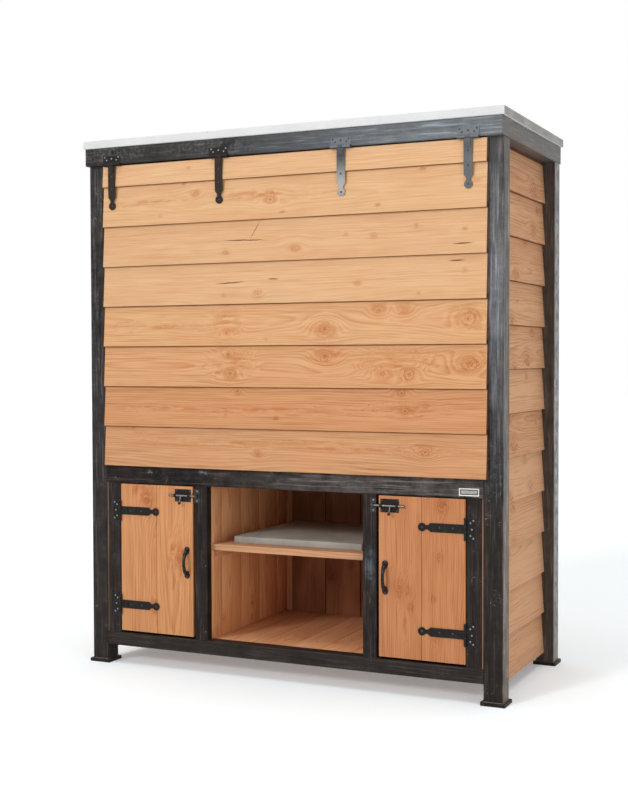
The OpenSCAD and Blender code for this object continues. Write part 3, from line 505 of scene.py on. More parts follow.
steelRun = {"upright": (40, 40, 1.5), "lengthwise": (1.5, 40, 40), "deep": (40, 1.5, 40)}
# the edges' lighter colour: partly bare worn steel, partly a painted highlight
steelEdge = {"spread": 0.42, "colour": (0.2, 0.185, 0.17)}
chipColour = (0.34, 0.33, 0.31)
blueScale = (0.09, 0.096, 0.108)
paleRub = (0.3, 0.29, 0.28)
darkBurn = (0.008, 0.007, 0.006)
steelLook = {
    "steelUpright": {
        "run": "upright", "tone": (0.022, 0.017, 0.0145), "flecks": 0.9, "force": 0.75, "edge": 0.7,
        "gloss": 0.12,
        # painted sheen: both posts lighter towards the top, the right one most, and a painted highlight
        # down the right post's outer side
        "glows": [
            glow((-0.91, -0.405, 1.7), (0.2, 0.5, 1.3), (0.048, 0.042, 0.04)),
            glow((0.91, -0.405, 1.62), (0.2, 0.5, 0.48), (0.18, 0.181, 0.192)),
            glow((0.951, -0.365, 1.1), (0.002, 0.5, 4.0), (0.15, 0.13, 0.104)),
            glow((0.951, -0.365, 0.3), (0.002, 0.5, 0.8), (0.235, 0.185, 0.15))],
        "patches": [
            patch((0.92, -0.405, 0.9), (0.1, 0.05, 0.16), 70.0, 0.55, blueScale),
            patch((-0.92, -0.405, 1.7), (0.1, 0.05, 0.6), 40.0, 0.55, darkBurn)]},
    "steelRear": {
        # painted light: a lighter tone than the front posts for their shaded front faces, and a painted
        # sheen on the outer side faces
        "run": "upright", "tone": (0.08, 0.063, 0.053), "flecks": 0.5, "force": 0.45, "edge": 0.8,
        "gloss": 0.15,
        "glows": [glow((0.951, 0.39, 1.1), (0.002, 0.5, 4.0), (0.42, 0.41, 0.4))],
        "patches": [patch((0.95, 0.39, 1.2), (0.004, 0.06, 2.4), 26.0, 0.6, darkBurn)]},
    "steelJamb": {
        "run": "upright", "tone": (0.027, 0.02, 0.018), "flecks": 0.6, "force": 0.75, "edge": 0.6,
        "gloss": 0.1,
        "patches": [
            patch((0.395, -0.405, 0.52), (0.035, 0.05, 0.13), 18.0, 0.9, blueScale),
            patch((0.835, -0.405, 0.46), (0.008, 0.05, 0.02), 60.0, 0.8, blueScale)]},
    "steelLengthwise": {
        "run": "lengthwise", "tone": (0.031, 0.024, 0.021), "flecks": 0.25, "force": 0.55, "edge": 0.7,
        "gloss": 0.1},
    "steelMid": {
        "run": "lengthwise", "tone": (0.024, 0.018, 0.016), "flecks": 0.6, "force": 1.0, "edge": 0.6,
        "gloss": 0.1,
        # painted sheen: the mid rail lighter towards its right end
        "glows": [glow((0.48, -0.405, 0.845), (0.62, 0.5, 0.5), (0.098, 0.084, 0.078))],
        "patches": [
            patch((-0.635, -0.405, 0.858), (0.034, 0.02, 0.014), 90.0, 0.7, paleRub),
            patch((-0.385, -0.405, 0.862), (0.028, 0.02, 0.016), 90.0, 0.7, paleRub),
            patch((-0.55, -0.405, 0.83), (0.35, 0.05, 0.06), 14.0, 0.7, darkBurn)]},
    "steelBeam": {
        "run": "lengthwise", "tone": (0.0265, 0.0225, 0.0205), "flecks": 0.45, "force": 0.42, "edge": 0.5,
        "gloss": 0.16,
        # painted reflection: the top beam lighter and bluer towards its right end
        "glows": [glow((0.74, -0.431, 2.24), (0.74, 1.0, 1.0), (0.158, 0.172, 0.187))],
        "patches": [
            patch((-0.85, -0.431, 2.24), (0.13, 0.05, 0.07), 22.0, 0.95, darkBurn),
            patch((-0.8, -0.431, 2.25), (0.24, 0.05, 0.05), 70.0, 0.22, paleRub),
            patch((-0.3, -0.431, 2.25), (0.3, 0.05, 0.05), 60.0, 0.16, paleRub),
            patch((-0.55, -0.431, 2.23), (0.2, 0.05, 0.05), 12.0, 0.6, darkBurn),
            patch((-0.25, -0.431, 2.24), (0.14, 0.05, 0.06), 20.0, 0.9, darkBurn)]},
    "steelDeep": {
        # painted sheen: a much paler tone than the other steel, for outer side faces that catch the light
        "run": "deep", "tone": (0.108, 0.093, 0.084), "flecks": 0.4, "force": 0.4, "edge": 0.6,
        "gloss": 0.25},
    "steelFoot": {
        "run": "deep", "tone": (0.026, 0.018, 0.014), "flecks": 0.3, "force": 0.8, "edge": 0.7,
        "gloss": 0.1},
}


def steelMaterial(name, look):
    material, tree, shader = newMaterial(name, Specular_IOR_Level=look["gloss"])
    place = objectPlace(tree)
    scale = useGroup(tree, "millScale", Vector=place, Streak=steelRun[look["run"]], Flecks=look["flecks"],
                     Force=look["force"])
    tone = withGlows(tree, place, look["tone"], look.get("glows", ()))
    for item in look.get("patches", ()):
        found = useGroup(tree, "patchField", Vector=place, Centre=item["at"], Reach=item["reach"],
                         Fine=item["fine"])
        tone = blend(tree, times(tree, found["Mask"], item["strength"]), tone, item["colour"])
    colour = blend(tree, 1.0, tone, scale["Shade"], "MULTIPLY")
    worn = useGroup(tree, "edgeWearAndGlint", Vector=place, Spread=steelEdge["spread"])
    colour = blend(tree, times(tree, worn["Mask"], look["edge"]), colour, steelEdge["colour"])
    colour = blend(tree, scale["Flecks"], colour, chipColour)
    dress(tree, shader, colour, scale["Roughness"], scale["Height"], 0.2, 0.0005)
    return material


steel = {name: steelMaterial(name, look) for name, look in steelLook.items()}

# Ironwork: forged and blackened, with lighter edges, partly bare and partly a painted highlight
ironEdge = {"spread": 0.35, "colour": (0.3, 0.28, 0.26)}


def ironMaterial(name, colour, worn, roughness, wearAndGlint, gloss, glows=()):
    material, tree, shader = newMaterial(name, Specular_IOR_Level=gloss)
    place = objectPlace(tree)
    hammered = noise(tree, place, 95)
    dust = ease(tree, noise(tree, place, 30, detail=4), 0.5, 0.8, 0.0, 0.4)
    shade = withGlows(tree, place, blend(tree, dust, colour, worn), glows)
    edge = useGroup(tree, "edgeWearAndGlint", Vector=place, Spread=ironEdge["spread"])
    shade = blend(tree, times(tree, edge["Mask"], wearAndGlint), shade, ironEdge["colour"])
    dress(tree, shader, shade, scaled(tree, hammered, 0.25, roughness), hammered, 0.35, 0.0006)
    return material


blackIron = ironMaterial("blackIron", (0.01, 0.0085, 0.0075), (0.036, 0.03, 0.026), 0.25, 0.55, 0.16)
strapIron = ironMaterial("strapIron", (0.026, 0.016, 0.011), (0.06, 0.042, 0.032), 0.25, 0.55, 0.16)
keeperIron = ironMaterial("keeperIron", (0.035, 0.033, 0.032), (0.16, 0.155, 0.15), 0.25, 0.7, 0.25)
# painted highlight and shade on the right-hand straps: a dark band and a light band near the knuckle, and a
# dark band on the outer strap
strapSheenAndShade = [
    glow((0.2815, -0.44, 2.165), (0.05, 0.3, 0.04), (0.03, 0.03, 0.032)),
    glow((0.2815, -0.44, 2.045), (0.05, 0.3, 0.065), (0.39, 0.37, 0.355)),
    glow((0.8155, -0.44, 2.165), (0.05, 0.3, 0.03), (0.055, 0.055, 0.058)),
]
greyIron = ironMaterial("greyIron", (0.09, 0.094, 0.098), (0.15, 0.15, 0.15), 0.26, 0.9, 0.3, strapSheenAndShade)
brownIron = ironMaterial("brownIron", (0.01, 0.007, 0.006), (0.04, 0.026, 0.018), 0.18, 0.6, 0.25)
rustIron = ironMaterial("rustIron", (0.06, 0.022, 0.012), (0.1, 0.04, 0.02), 0.4, 0.2, 0.15)
platePaint = ironMaterial("platePaint", (0.125, 0.137, 0.15), (0.17, 0.18, 0.19), 0.26, 0.3, 0.3)

# Bare steel of pins, rods and screws, with brown spots
spotColour = (0.2, 0.18, 0.16)


def metalMaterial(name, colour, roughness):
    material, tree, shader = newMaterial(name, Metallic=1.0)
    spots = noise(tree, objectPlace(tree), 260, detail=3)
    shade = blend(tree, ease(tree, spots, 0.4, 0.75, 0.0, 0.5), colour, spotColour)
    dress(tree, shader, shade, scaled(tree, spots, 0.25, roughness), spots, 0.15, 0.0003)
    return material


rodSteel = metalMaterial("rodSteel", (0.15, 0.14, 0.13), 0.3)
darkSteel = metalMaterial("darkSteel", (0.05, 0.05, 0.055), 0.3)
glintSteel = metalMaterial("glintSteel", (0.24, 0.24, 0.235), 0.28)


def mineralMaterial(name, light, dark, grit, mottle, strength):
    material, tree, shader = newMaterial(name)
    stone = useGroup(tree, "mineral", Vector=objectPlace(tree), Light=light, Dark=dark, Grit=grit,
                     Mottle=mottle)
    dress(tree, shader, stone["Colour"], stone["Roughness"], stone["Height"], strength, 0.001)
    return material


roofBoard = mineralMaterial("roofBoard", (0.745, 0.745, 0.74), (0.66, 0.655, 0.64), 240.0, 4.0, 0.25)
roofEdgeAndShade = mineralMaterial("roofEdgeAndShade", (0.46, 0.435, 0.41), (0.34, 0.315, 0.29), 240.0, 9.0, 0.25)
greyStone = mineralMaterial("greyStone", (0.43, 0.41, 0.365), (0.3, 0.29, 0.26), 320.0, 6.0, 0.4)
print("materials made")


# Mesh helpers

def addObject(name, data):
    item = bpy.data.objects.new(name, data)
    bpy.context.scene.collection.objects.link(item)
    return item


def addMesh(name, bm, materials):
    mesh = bpy.data.meshes.new(name)
    bm.to_mesh(mesh)
    bm.free()
    for material in materials:
        mesh.materials.append(material)
    return addObject(name, mesh)


def bodyOf(node):
    holder = frame["nodes"][node].parent
    return next((name for name, empty in frame["bodies"].items() if empty == holder), "frame")


def finishPiece(name, bm, materials, node=None, smooth=30):
    bmesh.ops.recalc_face_normals(bm, faces=bm.faces)
    for face in bm.faces:
        face.smooth = True
    for edge in bm.edges:
        edge.smooth = edge.calc_face_angle(0.0) < math.radians(smooth)
    piece = addMesh(name, bm, materials)
    body = bodyOf(node) if node else "frame"
    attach(piece, body)
    if node:
        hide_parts(node)


def copyNode(node):
    bm = bmesh.new()
    bm.from_mesh(frame["nodes"][node].data)
    bmesh.ops.remove_doubles(bm, verts=bm.verts, dist=0.00001)
    bmesh.ops.dissolve_limit(bm, angle_limit=math.radians(1), verts=bm.verts, edges=bm.edges)
    return bm


def roundEdges(bm, edges, width, segments):
    bmesh.ops.bevel(bm, geom=edges, offset=width, offset_type="OFFSET", segments=segments, profile=0.5,
                    affect="EDGES", clamp_overlap=True, material=-1)


def soften(bm, width, angle=35, shortest=0.008):
    sharp = [e for e in bm.edges if e.is_manifold and e.calc_length() > shortest
             and e.calc_face_angle(0.0) > math.radians(angle)]
    roundEdges(bm, sharp, width, 2)


def islands(bm):
    left = set(bm.verts)
    found = []
    while left:
        first = next(v for v in bm.verts if v in left)
        left.remove(first)
        group = [first]
        for v in group:
            for e in v.link_edges:
                w = e.other_vert(v)
                if w in left:
                    left.remove(w)
                    group.append(w)
        found.append(group)
    return found


def secondFinish(bm, there):
    for face in bm.faces:
        face.material_index = 1 if there(face.calc_center_median(), face.normal) else 0


# Weld beads round the feet and in the joints that show
weld = {"radius": 0.0026, "ripple": 0.0035, "sides": 8, "thin": 0.8, "tip": 0.6, "inset": 0.004}
postWide = 0.08
jambSides = (0.361, 0.422)      # how far the bay's jambs stand from the middle


def weldBead(bm, start, end):
    start, end = Vector(start), Vector(end)
    count = max(3, round((end - start).length / weld["ripple"]))
    step = (end - start) / count
    turn = step.to_track_quat("Z", "Y").to_matrix().to_4x4()
    ring = bmesh.ops.create_circle(bm, cap_ends=True, segments=weld["sides"],
                                   radius=weld["radius"] * weld["tip"],
                                   matrix=Matrix.Translation(start) @ turn)["verts"]
    edges = [e for e in bm.edges if e.verts[0] in ring and e.verts[1] in ring]
    for number in range(count):
        grown = bmesh.ops.extrude_edge_only(bm, edges=edges)["geom"]
        ring = [v for v in grown if isinstance(v, bmesh.types.BMVert)]
        edges = [e for e in grown if isinstance(e, bmesh.types.BMEdge)
                 and e.verts[0] in ring and e.verts[1] in ring]
        bmesh.ops.translate(bm, verts=ring, vec=step)
        middle = sum((v.co for v in ring), Vector()) / len(ring)
        wanted = weld["radius"] * (1.0 if number % 2 else weld["thin"])
        if number == count - 1:
            wanted *= weld["tip"]
        growth = wanted / (ring[0].co - middle).length
        bmesh.ops.scale(bm, vec=Vector((1, 1, 1)) * growth, verts=ring, space=Matrix.Translation(-middle))
    bmesh.ops.contextual_create(bm, geom=edges)


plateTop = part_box("foot_plates")[1].z
frontLow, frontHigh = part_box("front_posts")
rearLow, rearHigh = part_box("rear_posts")
postIn = frontHigh.x - postWide
bm = bmesh.new()
for side in (-1, 1):
    outer, inner = side * frontHigh.x, side * postIn
    for low, high in ((frontLow.y, frontHigh.y), (rearLow.y, rearHigh.y)):
        corners = [(outer, low), (inner, low), (inner, high), (outer, high)]
        for a, b in zip(corners, corners[1:] + corners[:1]):
            weldBead(bm, (*a, plateTop), (*b, plateTop))
finishPiece("foot_welds", bm, [steel["steelDeep"]])

midLow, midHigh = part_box("front_mid_rail")
joints = [(x, z) for x in jambSides for z in (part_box("front_bottom_rail")[1].z, midLow.z)]
joints.append((postIn, midHigh.z))
bm = bmesh.new()
for side in (-1, 1):
    for x, z in joints:
        weldBead(bm, (side * x, frontLow.y + weld["inset"], z), (side * x, midHigh.y - weld["inset"], z))
finishPiece("joint_welds", bm, [steel["steelRear"]])

# The tubes stay as they are in the CAD, and only take their material
steelNodes = {
    "steelUpright": "front_posts", "steelRear": "rear_posts", "steelJamb": "door_jambs",
    "steelBeam": "front_top_beam", "steelMid": "front_mid_rail", "steelFoot": "foot_plates",
    "steelLengthwise": "rear_top_beam rear_mid_rail front_bottom_rail rear_bottom_rail",
    "steelDeep": "side_top_beams side_mid_rails side_bottom_rails beam_end_caps",
}
for name, nodes in steelNodes.items():
    for node in nodes.split():
        frame["nodes"][node].data.materials[0] = steel[name]
print("frame steel dressed")


# Boards carry three attributes: grainAt is the place in the board, along, across and into it; boardTone
# shades it and moves its heart, and on the cladding also carries painted shade that grows with height;
# cutFace darkens the end grain and the sawn lower edge, partly their own darker colour, partly painted
# shade
boardLook = {"edge": 0.0012, "gap": 3.0, "seedShift": 0.37, "climbFrom": 1.2}
# painted shade: the cladding darkens with height, towards the beam
cladCut = {"endShade": 0.6, "edgeShade": 0.45, "climb": 1.0}      # these boards get darker with height
# endShade and edgeShade darken the end grain and the sawn lower edges: partly their own colour, partly
# painted shade
flapCut = {"endShade": 0.85, "edgeShade": 0.6}


def markBoards(bm, seed, tones=None, endShade=0.35, edgeShade=0.0, climb=0.0):
    cut = bm.faces.layers.float.new("cutFace")
    place = bm.verts.layers.float_vector.new("grainAt")
    tone = bm.verts.layers.float_vector.new("boardTone")
    rand = random.Random(seed)
    boards = []
    for number, group in enumerate(islands(bm)):
        low = Vector(min(v.co[i] for v in group) for i in range(3))
        high = Vector(max(v.co[i] for v in group) for i in range(3))
        middle = (low + high) / 2
        along, across, into = sorted(range(3), key=lambda i: low[i] - high[i])
        shift = boardLook["gap"] * number + boardLook["seedShift"] * seed
        drawn = [rand.uniform(-1, 1) for part in range(3)]
        shade = Vector(tones[number % len(tones)] if tones else drawn)
        # painted shade: darker with height above climbFrom
        shade.x += climb * (middle.z - boardLook["climbFrom"])
        for v in group:
            at = v.co - middle
            v[place] = Vector((at[along] + shift, at[across], at[into]))
            v[tone] = shade
            for face in v.link_faces:
                if abs(face.normal[along]) > 0.6:
                    face[cut] = endShade
                elif abs(face.normal[across]) > 0.6:
                    face[cut] = edgeShade
        boards.append({"middle": middle, "along": along, "across": across, "shift": shift})
    return boards


def onBoard(boards, x, z, *rest):
    board = min(boards, key=lambda b: abs(b["middle"].x - x))
    at = Vector((x, 0.0, z)) - board["middle"]
    return (at[board["along"]] + board["shift"], at[board["across"]], *rest)


def placedMarks(boards, look):
    kinds = ("knots", "checks", "stains")
    return [[onBoard(boards, *item) for item in look.get(kind, ())] for kind in kinds]


# The flap's boards from the lowest up. Knots: x, z, size and swirl. Checks: x, z, length and lean.
# Stains: x, z, length and width
flapBoards = {
    1: {"tone": (0.2, 2.2, 0.2), "contrast": 0.62, "heart": 0.07, "tint": (0.768, 0.617, 0.559),
        "knots": [(-0.103, 0.953, 0.006, 1.2), (0.637, 0.982, 0.009, 1.3), (-0.719, 1.054, 0.004, 1.0)],
        "stains": [(-0.22, 0.995, 0.26, 0.01), (0.45, 0.984, 0.45, 0.008), (-0.72, 1.05, 0.05, 0.03)]},
    2: {"tone": (0.2, -2.6, 0.2), "contrast": 0.62, "heart": 0.065, "tint": (0.778, 0.587, 0.494),
        "knots": [(-0.201, 1.215, 0.006, 1.2), (0.536, 1.213, 0.008, 1.2), (0.553, 1.142, 0.008, 1.2),
                  (0.637, 1.159, 0.006, 1.0), (-0.255, 1.114, 0.003, 1.0), (-0.018, 1.105, 0.003, 1.0)],
        "stains": [(-0.56, 1.139, 0.24, 0.009), (-0.06, 1.137, 0.2, 0.014), (0.56, 1.15, 0.1, 0.02)]},
    3: {"tone": (0.1, 0.1, 0.3), "contrast": 0.55, "heart": 0.035, "tint": (0.86, 0.71, 0.62),
        "knots": [(-0.234, 1.29, 0.009, 1.6), (-0.245, 1.366, 0.006, 1.6), (0.206, 1.36, 0.014, 1.3),
                  (0.46, 1.29, 0.011, 1.3), (0.572, 1.287, 0.011, 1.3), (0.818, 1.33, 0.016, 1.3)],
        "stains": [(-0.23, 1.34, 0.07, 0.05), (0.5, 1.33, 0.1, 0.04)]},
    4: {"tone": (0.05, -0.2, 0.2), "contrast": 0.45, "heart": 0.04, "tint": (0.9, 0.78, 0.7),
        "knots": [(-0.25, 1.462, 0.006, 1.8), (0.206, 1.472, 0.014, 1.3), (0.812, 1.504, 0.015, 1.3),
                  (0.44, 1.541, 0.009, 1.2), (0.549, 1.543, 0.009, 1.2), (-0.062, 1.43, 0.0025, 1.0)],
        "stains": [(-0.25, 1.5, 0.05, 0.06), (-0.55, 1.49, 0.14, 0.012)]},
    5: {"tone": (0.0, 2.4, -0.1), "contrast": 0.24, "heart": 0.085, "tint": (0.92, 0.84, 0.81),
        "lapWide": 0.003,
        "knots": [(-0.261, 1.619, 0.0025, 1.0), (0.612, 1.606, 0.0025, 1.0), (-0.1, 1.62, 0.006, 1.0),
                  (0.8, 1.69, 0.003, 1.0), (0.35, 1.65, 0.004, 1.0)],
        "checks": [(-0.23, 1.669, 0.17, 0.02), (-0.03, 1.68, 0.06, 0.0), (0.767, 1.73, 0.08, 0.04)]},
    6: {"tone": (0.0, -2.8, 0.0), "contrast": 0.24, "heart": 0.075, "tint": (0.915, 0.83, 0.8),
        "lapWide": 0.003,
        "knots": [(-0.251, 1.799, 0.004, 1.2), (0.072, 1.803, 0.007, 1.8), (0.42, 1.84, 0.004, 1.0),
                  (0.6, 1.87, 0.003, 1.0), (0.8, 1.85, 0.003, 1.0), (0.3, 1.85, 0.003, 1.0)],
        "checks": [(-0.113, 1.887, 0.06, 1.6), (-0.16, 1.845, 0.24, -0.04), (0.793, 1.795, 0.1, 0.0)]},
    7: {"tone": (0.0, 0.2, -0.3), "contrast": 0.28, "heart": 0.04, "tint": (0.935, 0.855, 0.815),
        "lapWide": 0.003,
        "knots": [(-0.458, 2.096, 0.003, 1.0), (-0.569, 1.965, 0.003, 1.0), (-0.117, 2.034, 0.004, 1.4),
                  (-0.042, 2.009, 0.008, 1.6), (0.017, 1.957, 0.003, 1.0), (0.625, 2.093, 0.004, 1.0),
                  (0.439, 1.959, 0.003, 1.0), (0.849, 2.033, 0.004, 1.0), (-0.4, 2.05, 0.005, 2.4)],
        "stains": [(-0.62, 2.03, 0.14, 0.01), (-0.1, 2.03, 0.16, 0.02)]},
    8: {"tone": (-0.1, 3.0, -0.4), "contrast": 0.3, "heart": 0.09, "tint": (0.95, 0.87, 0.845),
        "knots": [(-0.43, 2.16, 0.003, 1.0)]},
}
flapLap = 0.0781      # as cladLap
for number, look in flapBoards.items():
    node = f"flap_board_{number}"
    bm = copyNode(node)
    soften(bm, boardLook["edge"])
    boards = markBoards(bm, number, [look["tone"]], **flapCut)
    wood = woodMaterial(f"flapWood{number}", "flap", *placedMarks(boards, look), strewn=0.0,
                        heartDepth=look["heart"], tint=look["tint"], contrast=look["contrast"],
                        lap=flapLap if number < len(flapBoards) else None,
                        lapWide=look.get("lapWide", lapShadow["wide"]))
    finishPiece(f"flapBoard{number}", bm, [wood], node)
print("flap boards dressed")

# The plain boards and battens. Each node has its own seed, counted from 11 in this order
boardNodes = (
    "left_cladding right_cladding rear_cladding cladding_battens worktop floor_bearers floor_boards "
    "bay_left_wall bay_right_wall bay_back_wall bay_shelf shelf_cleats jamb_fillers flap_battens "
    "left_door_ledges right_door_ledges").split()
ownWood = {"bay_left_wall": paintedLitInner, "bay_back_wall": darkShadedBackWood, "bay_shelf": shelfWood,
           "jamb_fillers": stripWood}
for seed, node in enumerate(boardNodes, 11):
    clad = node.endswith("_cladding")
    bm = copyNode(node)
    soften(bm, boardLook["edge"])
    markBoards(bm, seed, **(cladCut if clad else {}))
    wood, slot = (cladWood, "clad_wood") if clad else (ownWood.get(node, innerWood), "inner_wood")
    finishPiece(node + "_wood", bm, [wood], node)

# The doors' boards, two to a door, with the same marks as the flap's
doorHeart = 0.09
doorLook = {
    "left": {"tones": [(0.0, 0.3, 0.0), (0.3, -2.4, 0.4)], "tint": (0.89, 0.84, 0.84), "contrast": 0.48,
             "edge": 0.0015, "seed": 31,
             "stains": [(-0.71, 0.78, 0.03, 0.05), (-0.5, 0.49, 0.08, 0.03)],
             "knots": [(-0.665, 0.735, 0.012, 1.5), (-0.62, 0.27, 0.007, 1.3), (-0.5, 0.485, 0.006, 1.6),
                       (-0.525, 0.53, 0.005, 1.4), (-0.49, 0.51, 0.005, 1.4), (-0.62, 0.575, 0.0025, 1.0)]},
    "right": {"tones": [(0.2, 3.2, 0.3), (0.0, -3.4, 0.1)], "tint": (0.745, 0.622, 0.6), "contrast": 0.44,
              "edge": 0.0005, "seed": 32,
              "stains": [(0.535, 0.43, 0.05, 0.035), (0.57, 0.36, 0.03, 0.02), (0.545, 0.3, 0.05, 0.01)],
              "knots": [(0.52, 0.435, 0.011, 0.8), (0.553, 0.425, 0.008, 0.8), (0.565, 0.36, 0.006, 0.8),
                        (0.7, 0.772, 0.011, 0.8), (0.68, 0.25, 0.008, 0.7), (0.665, 0.4, 0.004, 0.6),
                        (0.69, 0.566, 0.006, 0.7)]},
}
for side, look in doorLook.items():
    node = side + "_door_boards"
    bm = copyNode(node)
    soften(bm, look["edge"])
    boards = markBoards(bm, look["seed"], look["tones"])
    wood = woodMaterial(side + "DoorWood", "door", *placedMarks(boards, look), strewn=0.0,
                        heartDepth=doorHeart, tint=look["tint"], contrast=look["contrast"])
    finishPiece(node + "_wood", bm, [wood], node)
print("boards dressed")

# Ironwork, by slot. Some pieces have a second finish on one part
ironNodes = {
    "hinge_iron": (blackIron, "flap_hinge_plates door_hinge_plates flap_straps left_door_straps "
                              "right_door_straps bolt_keepers left_bolt_guide right_bolt_guide"),
    "handle_iron": (brownIron, "left_door_handle right_door_handle"),
    "bare_steel": (rodSteel, "left_bolt right_bolt hinge_pins"),
}
ownIron = {"flap_straps": strapIron, "bolt_keepers": keeperIron, "hinge_pins": darkSteel}
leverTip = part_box("left_bolt")[0].z + 0.016
seconds = {
    "flap_straps": (greyIron, lambda at, way: at.x > 0),
    "flap_hinge_plates": (platePaint, lambda at, way: at.x > 0),
    "left_bolt": (rustIron, lambda at, way: at.z < leverTip),
    "right_bolt": (rustIron, lambda at, way: at.z < leverTip),
}
for slot, (usual, nodes) in ironNodes.items():
    for node in nodes.split():
        bm = copyNode(node)
        materials = [ownIron.get(node, usual)]
        if node in seconds:
            other, there = seconds[node]
            materials.append(other)
            secondFinish(bm, there)
        finishPiece(node + "_iron", bm, materials, node, smooth=40)
print("ironwork dressed")

# Screws: a domed head with a six-lobed socket on a plain shank, in place of each plain one
screwLook = {"segments": 24, "crown": 0.62, "rounding": 0.45, "socket": 0.42, "lobe": 0.74,
             "socketDeep": 0.0011, "shankSides": 10, "shankTip": 0.35, "shank": 0.45}


def screwHead(bm, base, axis, radius, height, depth):
    sides = screwLook["segments"]
    at = Matrix.Translation(base) @ axis.to_track_quat("Z", "Y").to_matrix().to_4x4()
    made = bmesh.ops.create_cone(bm, cap_ends=True, segments=sides, radius1=radius,
                                 radius2=radius * screwLook["crown"], depth=height,
                                 matrix=at @ Matrix.Translation((0, 0, height / 2)))["verts"]
    faces = {f for v in made for f in v.link_faces if len(f.verts) > 4}
    top = max(faces, key=lambda f: f.calc_center_median().dot(axis))
    roundEdges(bm, list(top.edges), height * screwLook["rounding"], 3)
    faces = [f for f in bm.faces if len(f.verts) == sides
             and (f.calc_center_median() - base).length < 2 * radius]
    top = max(faces, key=lambda f: f.calc_center_median().dot(axis))
    centre = top.calc_center_median()
    rim = (top.verts[0].co - centre).length - radius * screwLook["socket"]
    bmesh.ops.inset_region(bm, faces=[top], thickness=max(0.0001, rim), use_even_offset=True)
    for number, v in enumerate(top.verts):
        if number % 4 > 1:
            v.co = centre + (v.co - centre) * screwLook["lobe"]
    sunk = bmesh.ops.extrude_face_region(bm, geom=[top])["geom"]
    bmesh.ops.delete(bm, geom=[top], context="FACES")
    bmesh.ops.translate(bm, verts=[v for v in sunk if isinstance(v, bmesh.types.BMVert)],
                        vec=-axis * screwLook["socketDeep"])
    bmesh.ops.create_cone(bm, cap_ends=True, segments=screwLook["shankSides"],
                          radius1=radius * screwLook["shankTip"], radius2=radius * screwLook["shank"],
                          depth=depth, matrix=at @ Matrix.Translation((0, 0, -depth / 2)))


for node in ("frame_screws", "flap_screws", "left_door_screws", "right_door_screws"):
    cad = copyNode(node)
    bm = bmesh.new()
    for group in islands(cad):
        back = max(v.co.y for v in group)
        tips = [v.co for v in group if v.co.y > back - 0.0005]
        tip = sum(tips, Vector()) / len(tips)
        apex = min((v.co for v in group), key=lambda c: c.y)
        axis = (apex - tip).normalized()
        heights = [(v.co - tip).dot(axis) for v in group]
        reaches = [((v.co - tip) - axis * height).length for v, height in zip(group, heights)]
        radius = max(reaches)
        bottom = min(height for height, reach in zip(heights, reaches) if reach > 0.95 * radius)
        screwHead(bm, tip + axis * bottom, axis, radius, (apex - tip).length - bottom, bottom)
    cad.free()
    if node == "frame_screws":
        # painted glints: the frame screws below 1 m and left of the middle take the brighter steel
        secondFinish(bm, lambda at, way: at.z < 1.0 or at.x < 0)
    finishPiece(node + "_set", bm, [darkSteel, glintSteel], node, smooth=35)
print("screws made")

# Roof board, stone and blank plate
bm = copyNode("roof_slab")
soften(bm, 0.002)
# the right side face takes the darker, browner edge finish: partly the rougher cut edge, partly painted
# shade on the side away from the light
secondFinish(bm, lambda at, way: way.x > 0.9)
finishPiece("roofSlab", bm, [roofBoard, roofEdgeAndShade], "roof_slab")

bm = copyNode("stone_slab")
soften(bm, 0.0025)
finishPiece("stoneSlab", bm, [greyStone], "stone_slab")

plateLook = {"rim": (0.6, 0.59, 0.56), "groove": (0.02, 0.02, 0.02), "field": (0.22, 0.215, 0.205),
             "roughness": 0.42}
plateSteel, tree, shader = newMaterial("plateSteel", Metallic=1.0)
place = objectPlace(tree)
ways = parts(tree, place)
plateLow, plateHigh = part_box("blank_plate")
depths = []
for axis in (0, 2):
    centre = (plateLow[axis] + plateHigh[axis]) / 2
    half = (plateHigh[axis] - plateLow[axis]) / 2
    depths.append(minus(tree, half, apart(tree, ways[axis], centre)))
inset = calc(tree, "MINIMUM", *depths)
brushed = noise(tree, place, (60, 60, 900), detail=3)
colour = blend(tree, ease(tree, brushed, 0.35, 0.7, 0.0, 0.5), plateLook["field"], plateLook["rim"])
for kind, wide in (("groove", 0.008), ("rim", 0.0045)):      # how far each reaches in from the edge
    colour = blend(tree, below(tree, inset, wide), colour, plateLook[kind])
dress(tree, shader, colour, plateLook["roughness"], brushed, 0.1, 0.0002)
finishPiece("blankPlate", copyNode("blank_plate"), [plateSteel], "blank_plate")
print("roof, stone and plate made")

# Studio: a pale floor that keeps the shadow, and a white background that the object sees dimmer
stageLook = {"floor": 40.0, "floorGrey": (0.84, 0.89, 0.91), "grain": 0.99, "lift": 0.23,
             "worldLight": 0.38}


def seenRays(tree):
    rays = tree.nodes.new("ShaderNodeLightPath").outputs
    beyond = larger(tree, rays["Is Glossy Ray"], rays["Is Transmission Ray"])
    return larger(tree, rays["Is Camera Ray"], beyond)


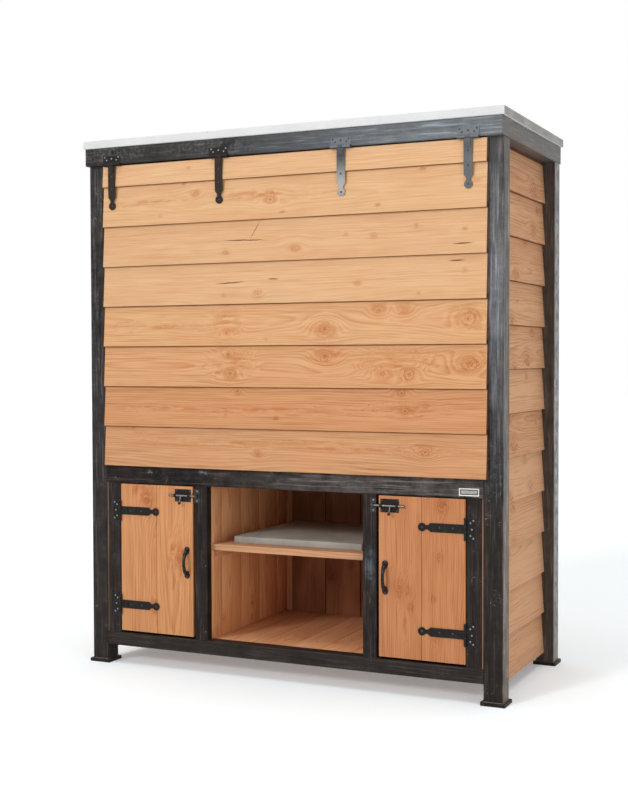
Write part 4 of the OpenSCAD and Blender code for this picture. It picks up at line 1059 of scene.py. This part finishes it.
paper, tree, shader = newMaterial("studioPaper", Roughness=0.9)
grain = noise(tree, objectPlace(tree), 3, detail=3)
shaded = tuple(c * stageLook["grain"] for c in stageLook["floorGrey"])
feed(tree, shader.inputs["Base Color"], blend(tree, grain, stageLook["floorGrey"], shaded))
feed(tree, shader.inputs["Emission Color"], (1, 1, 1))
feed(tree, shader.inputs["Emission Strength"], times(tree, seenRays(tree), stageLook["lift"]))
bm = bmesh.new()
bmesh.ops.create_grid(bm, x_segments=2, y_segments=2, size=stageLook["floor"])
studioFloor = addMesh("studioFloor", bm, [paper])
studioFloor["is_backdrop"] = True

world = bpy.data.worlds.new("studioWorld")
bpy.context.scene.world = world
world.use_nodes = True
tree = world.node_tree
background = tree.nodes["Background"].inputs
feed(tree, background["Color"], (1, 1, 1))
lit = stageLook["worldLight"]
feed(tree, background["Strength"], scaled(tree, seenRays(tree), 1.0 - lit, lit))

# Lamps: kind, power, place, aim and the lamp's own settings
lamps = {
    "keySun": ("SUN", 1.0, (0, 0, 0), (0.33, 0.86, -0.46), {"angle": math.radians(10)}),
    "topSun": ("SUN", 1.3, (0, 0, 0), (0.0, 0.05, -1.0), {"angle": math.radians(50)}),
    "frontSoftbox": ("AREA", 36.0, (-0.5, -5.4, 2.8), (0.5, -0.4, 1.8),
                     {"shape": "RECTANGLE", "size": 1.3, "size_y": 1.7}),
    "fillSoftbox": ("AREA", 32.0, (4.6, -3.4, 1.4), (0.0, -0.2, 0.9),
                    {"shape": "RECTANGLE", "size": 2.0, "size_y": 2.4}),
}
for name, (kind, power, place, aim, settings) in lamps.items():
    lamp = bpy.data.lights.new(name, kind)
    lamp.energy = power
    for label, value in settings.items():
        setattr(lamp, label, value)
    holder = addObject(name, lamp)
    holder.location = place
    holder.rotation_mode = "QUATERNION"
    holder.rotation_quaternion = (Vector(aim) - Vector(place)).to_track_quat("-Z", "Y")
    holder.visible_camera = kind == "SUN"

# The camera stands where the photo was taken from
eye = {"place": (2.40926, -5.21388, 1.35066), "yaw": 0.4398158, "pitch": -0.0319418, "roll": -0.0027389,
       "lens": 58.3764}
camera = bpy.data.cameras.new("photoCamera")
camera.sensor_width = 36.0
camera.lens = eye["lens"]
camera.clip_end = 200.0
viewer = addObject("photoCamera", camera)
turn = Matrix.Rotation(eye["yaw"], 4, "Z") @ Matrix.Rotation(math.pi / 2 + eye["pitch"], 4, "X")
turn = turn @ Matrix.Rotation(eye["roll"], 4, "Z")
viewer.matrix_world = Matrix.Translation(eye["place"]) @ turn
bpy.context.scene.camera = viewer
bpy.context.scene.view_settings.view_transform = "Standard"
print("stage set")

low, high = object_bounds()
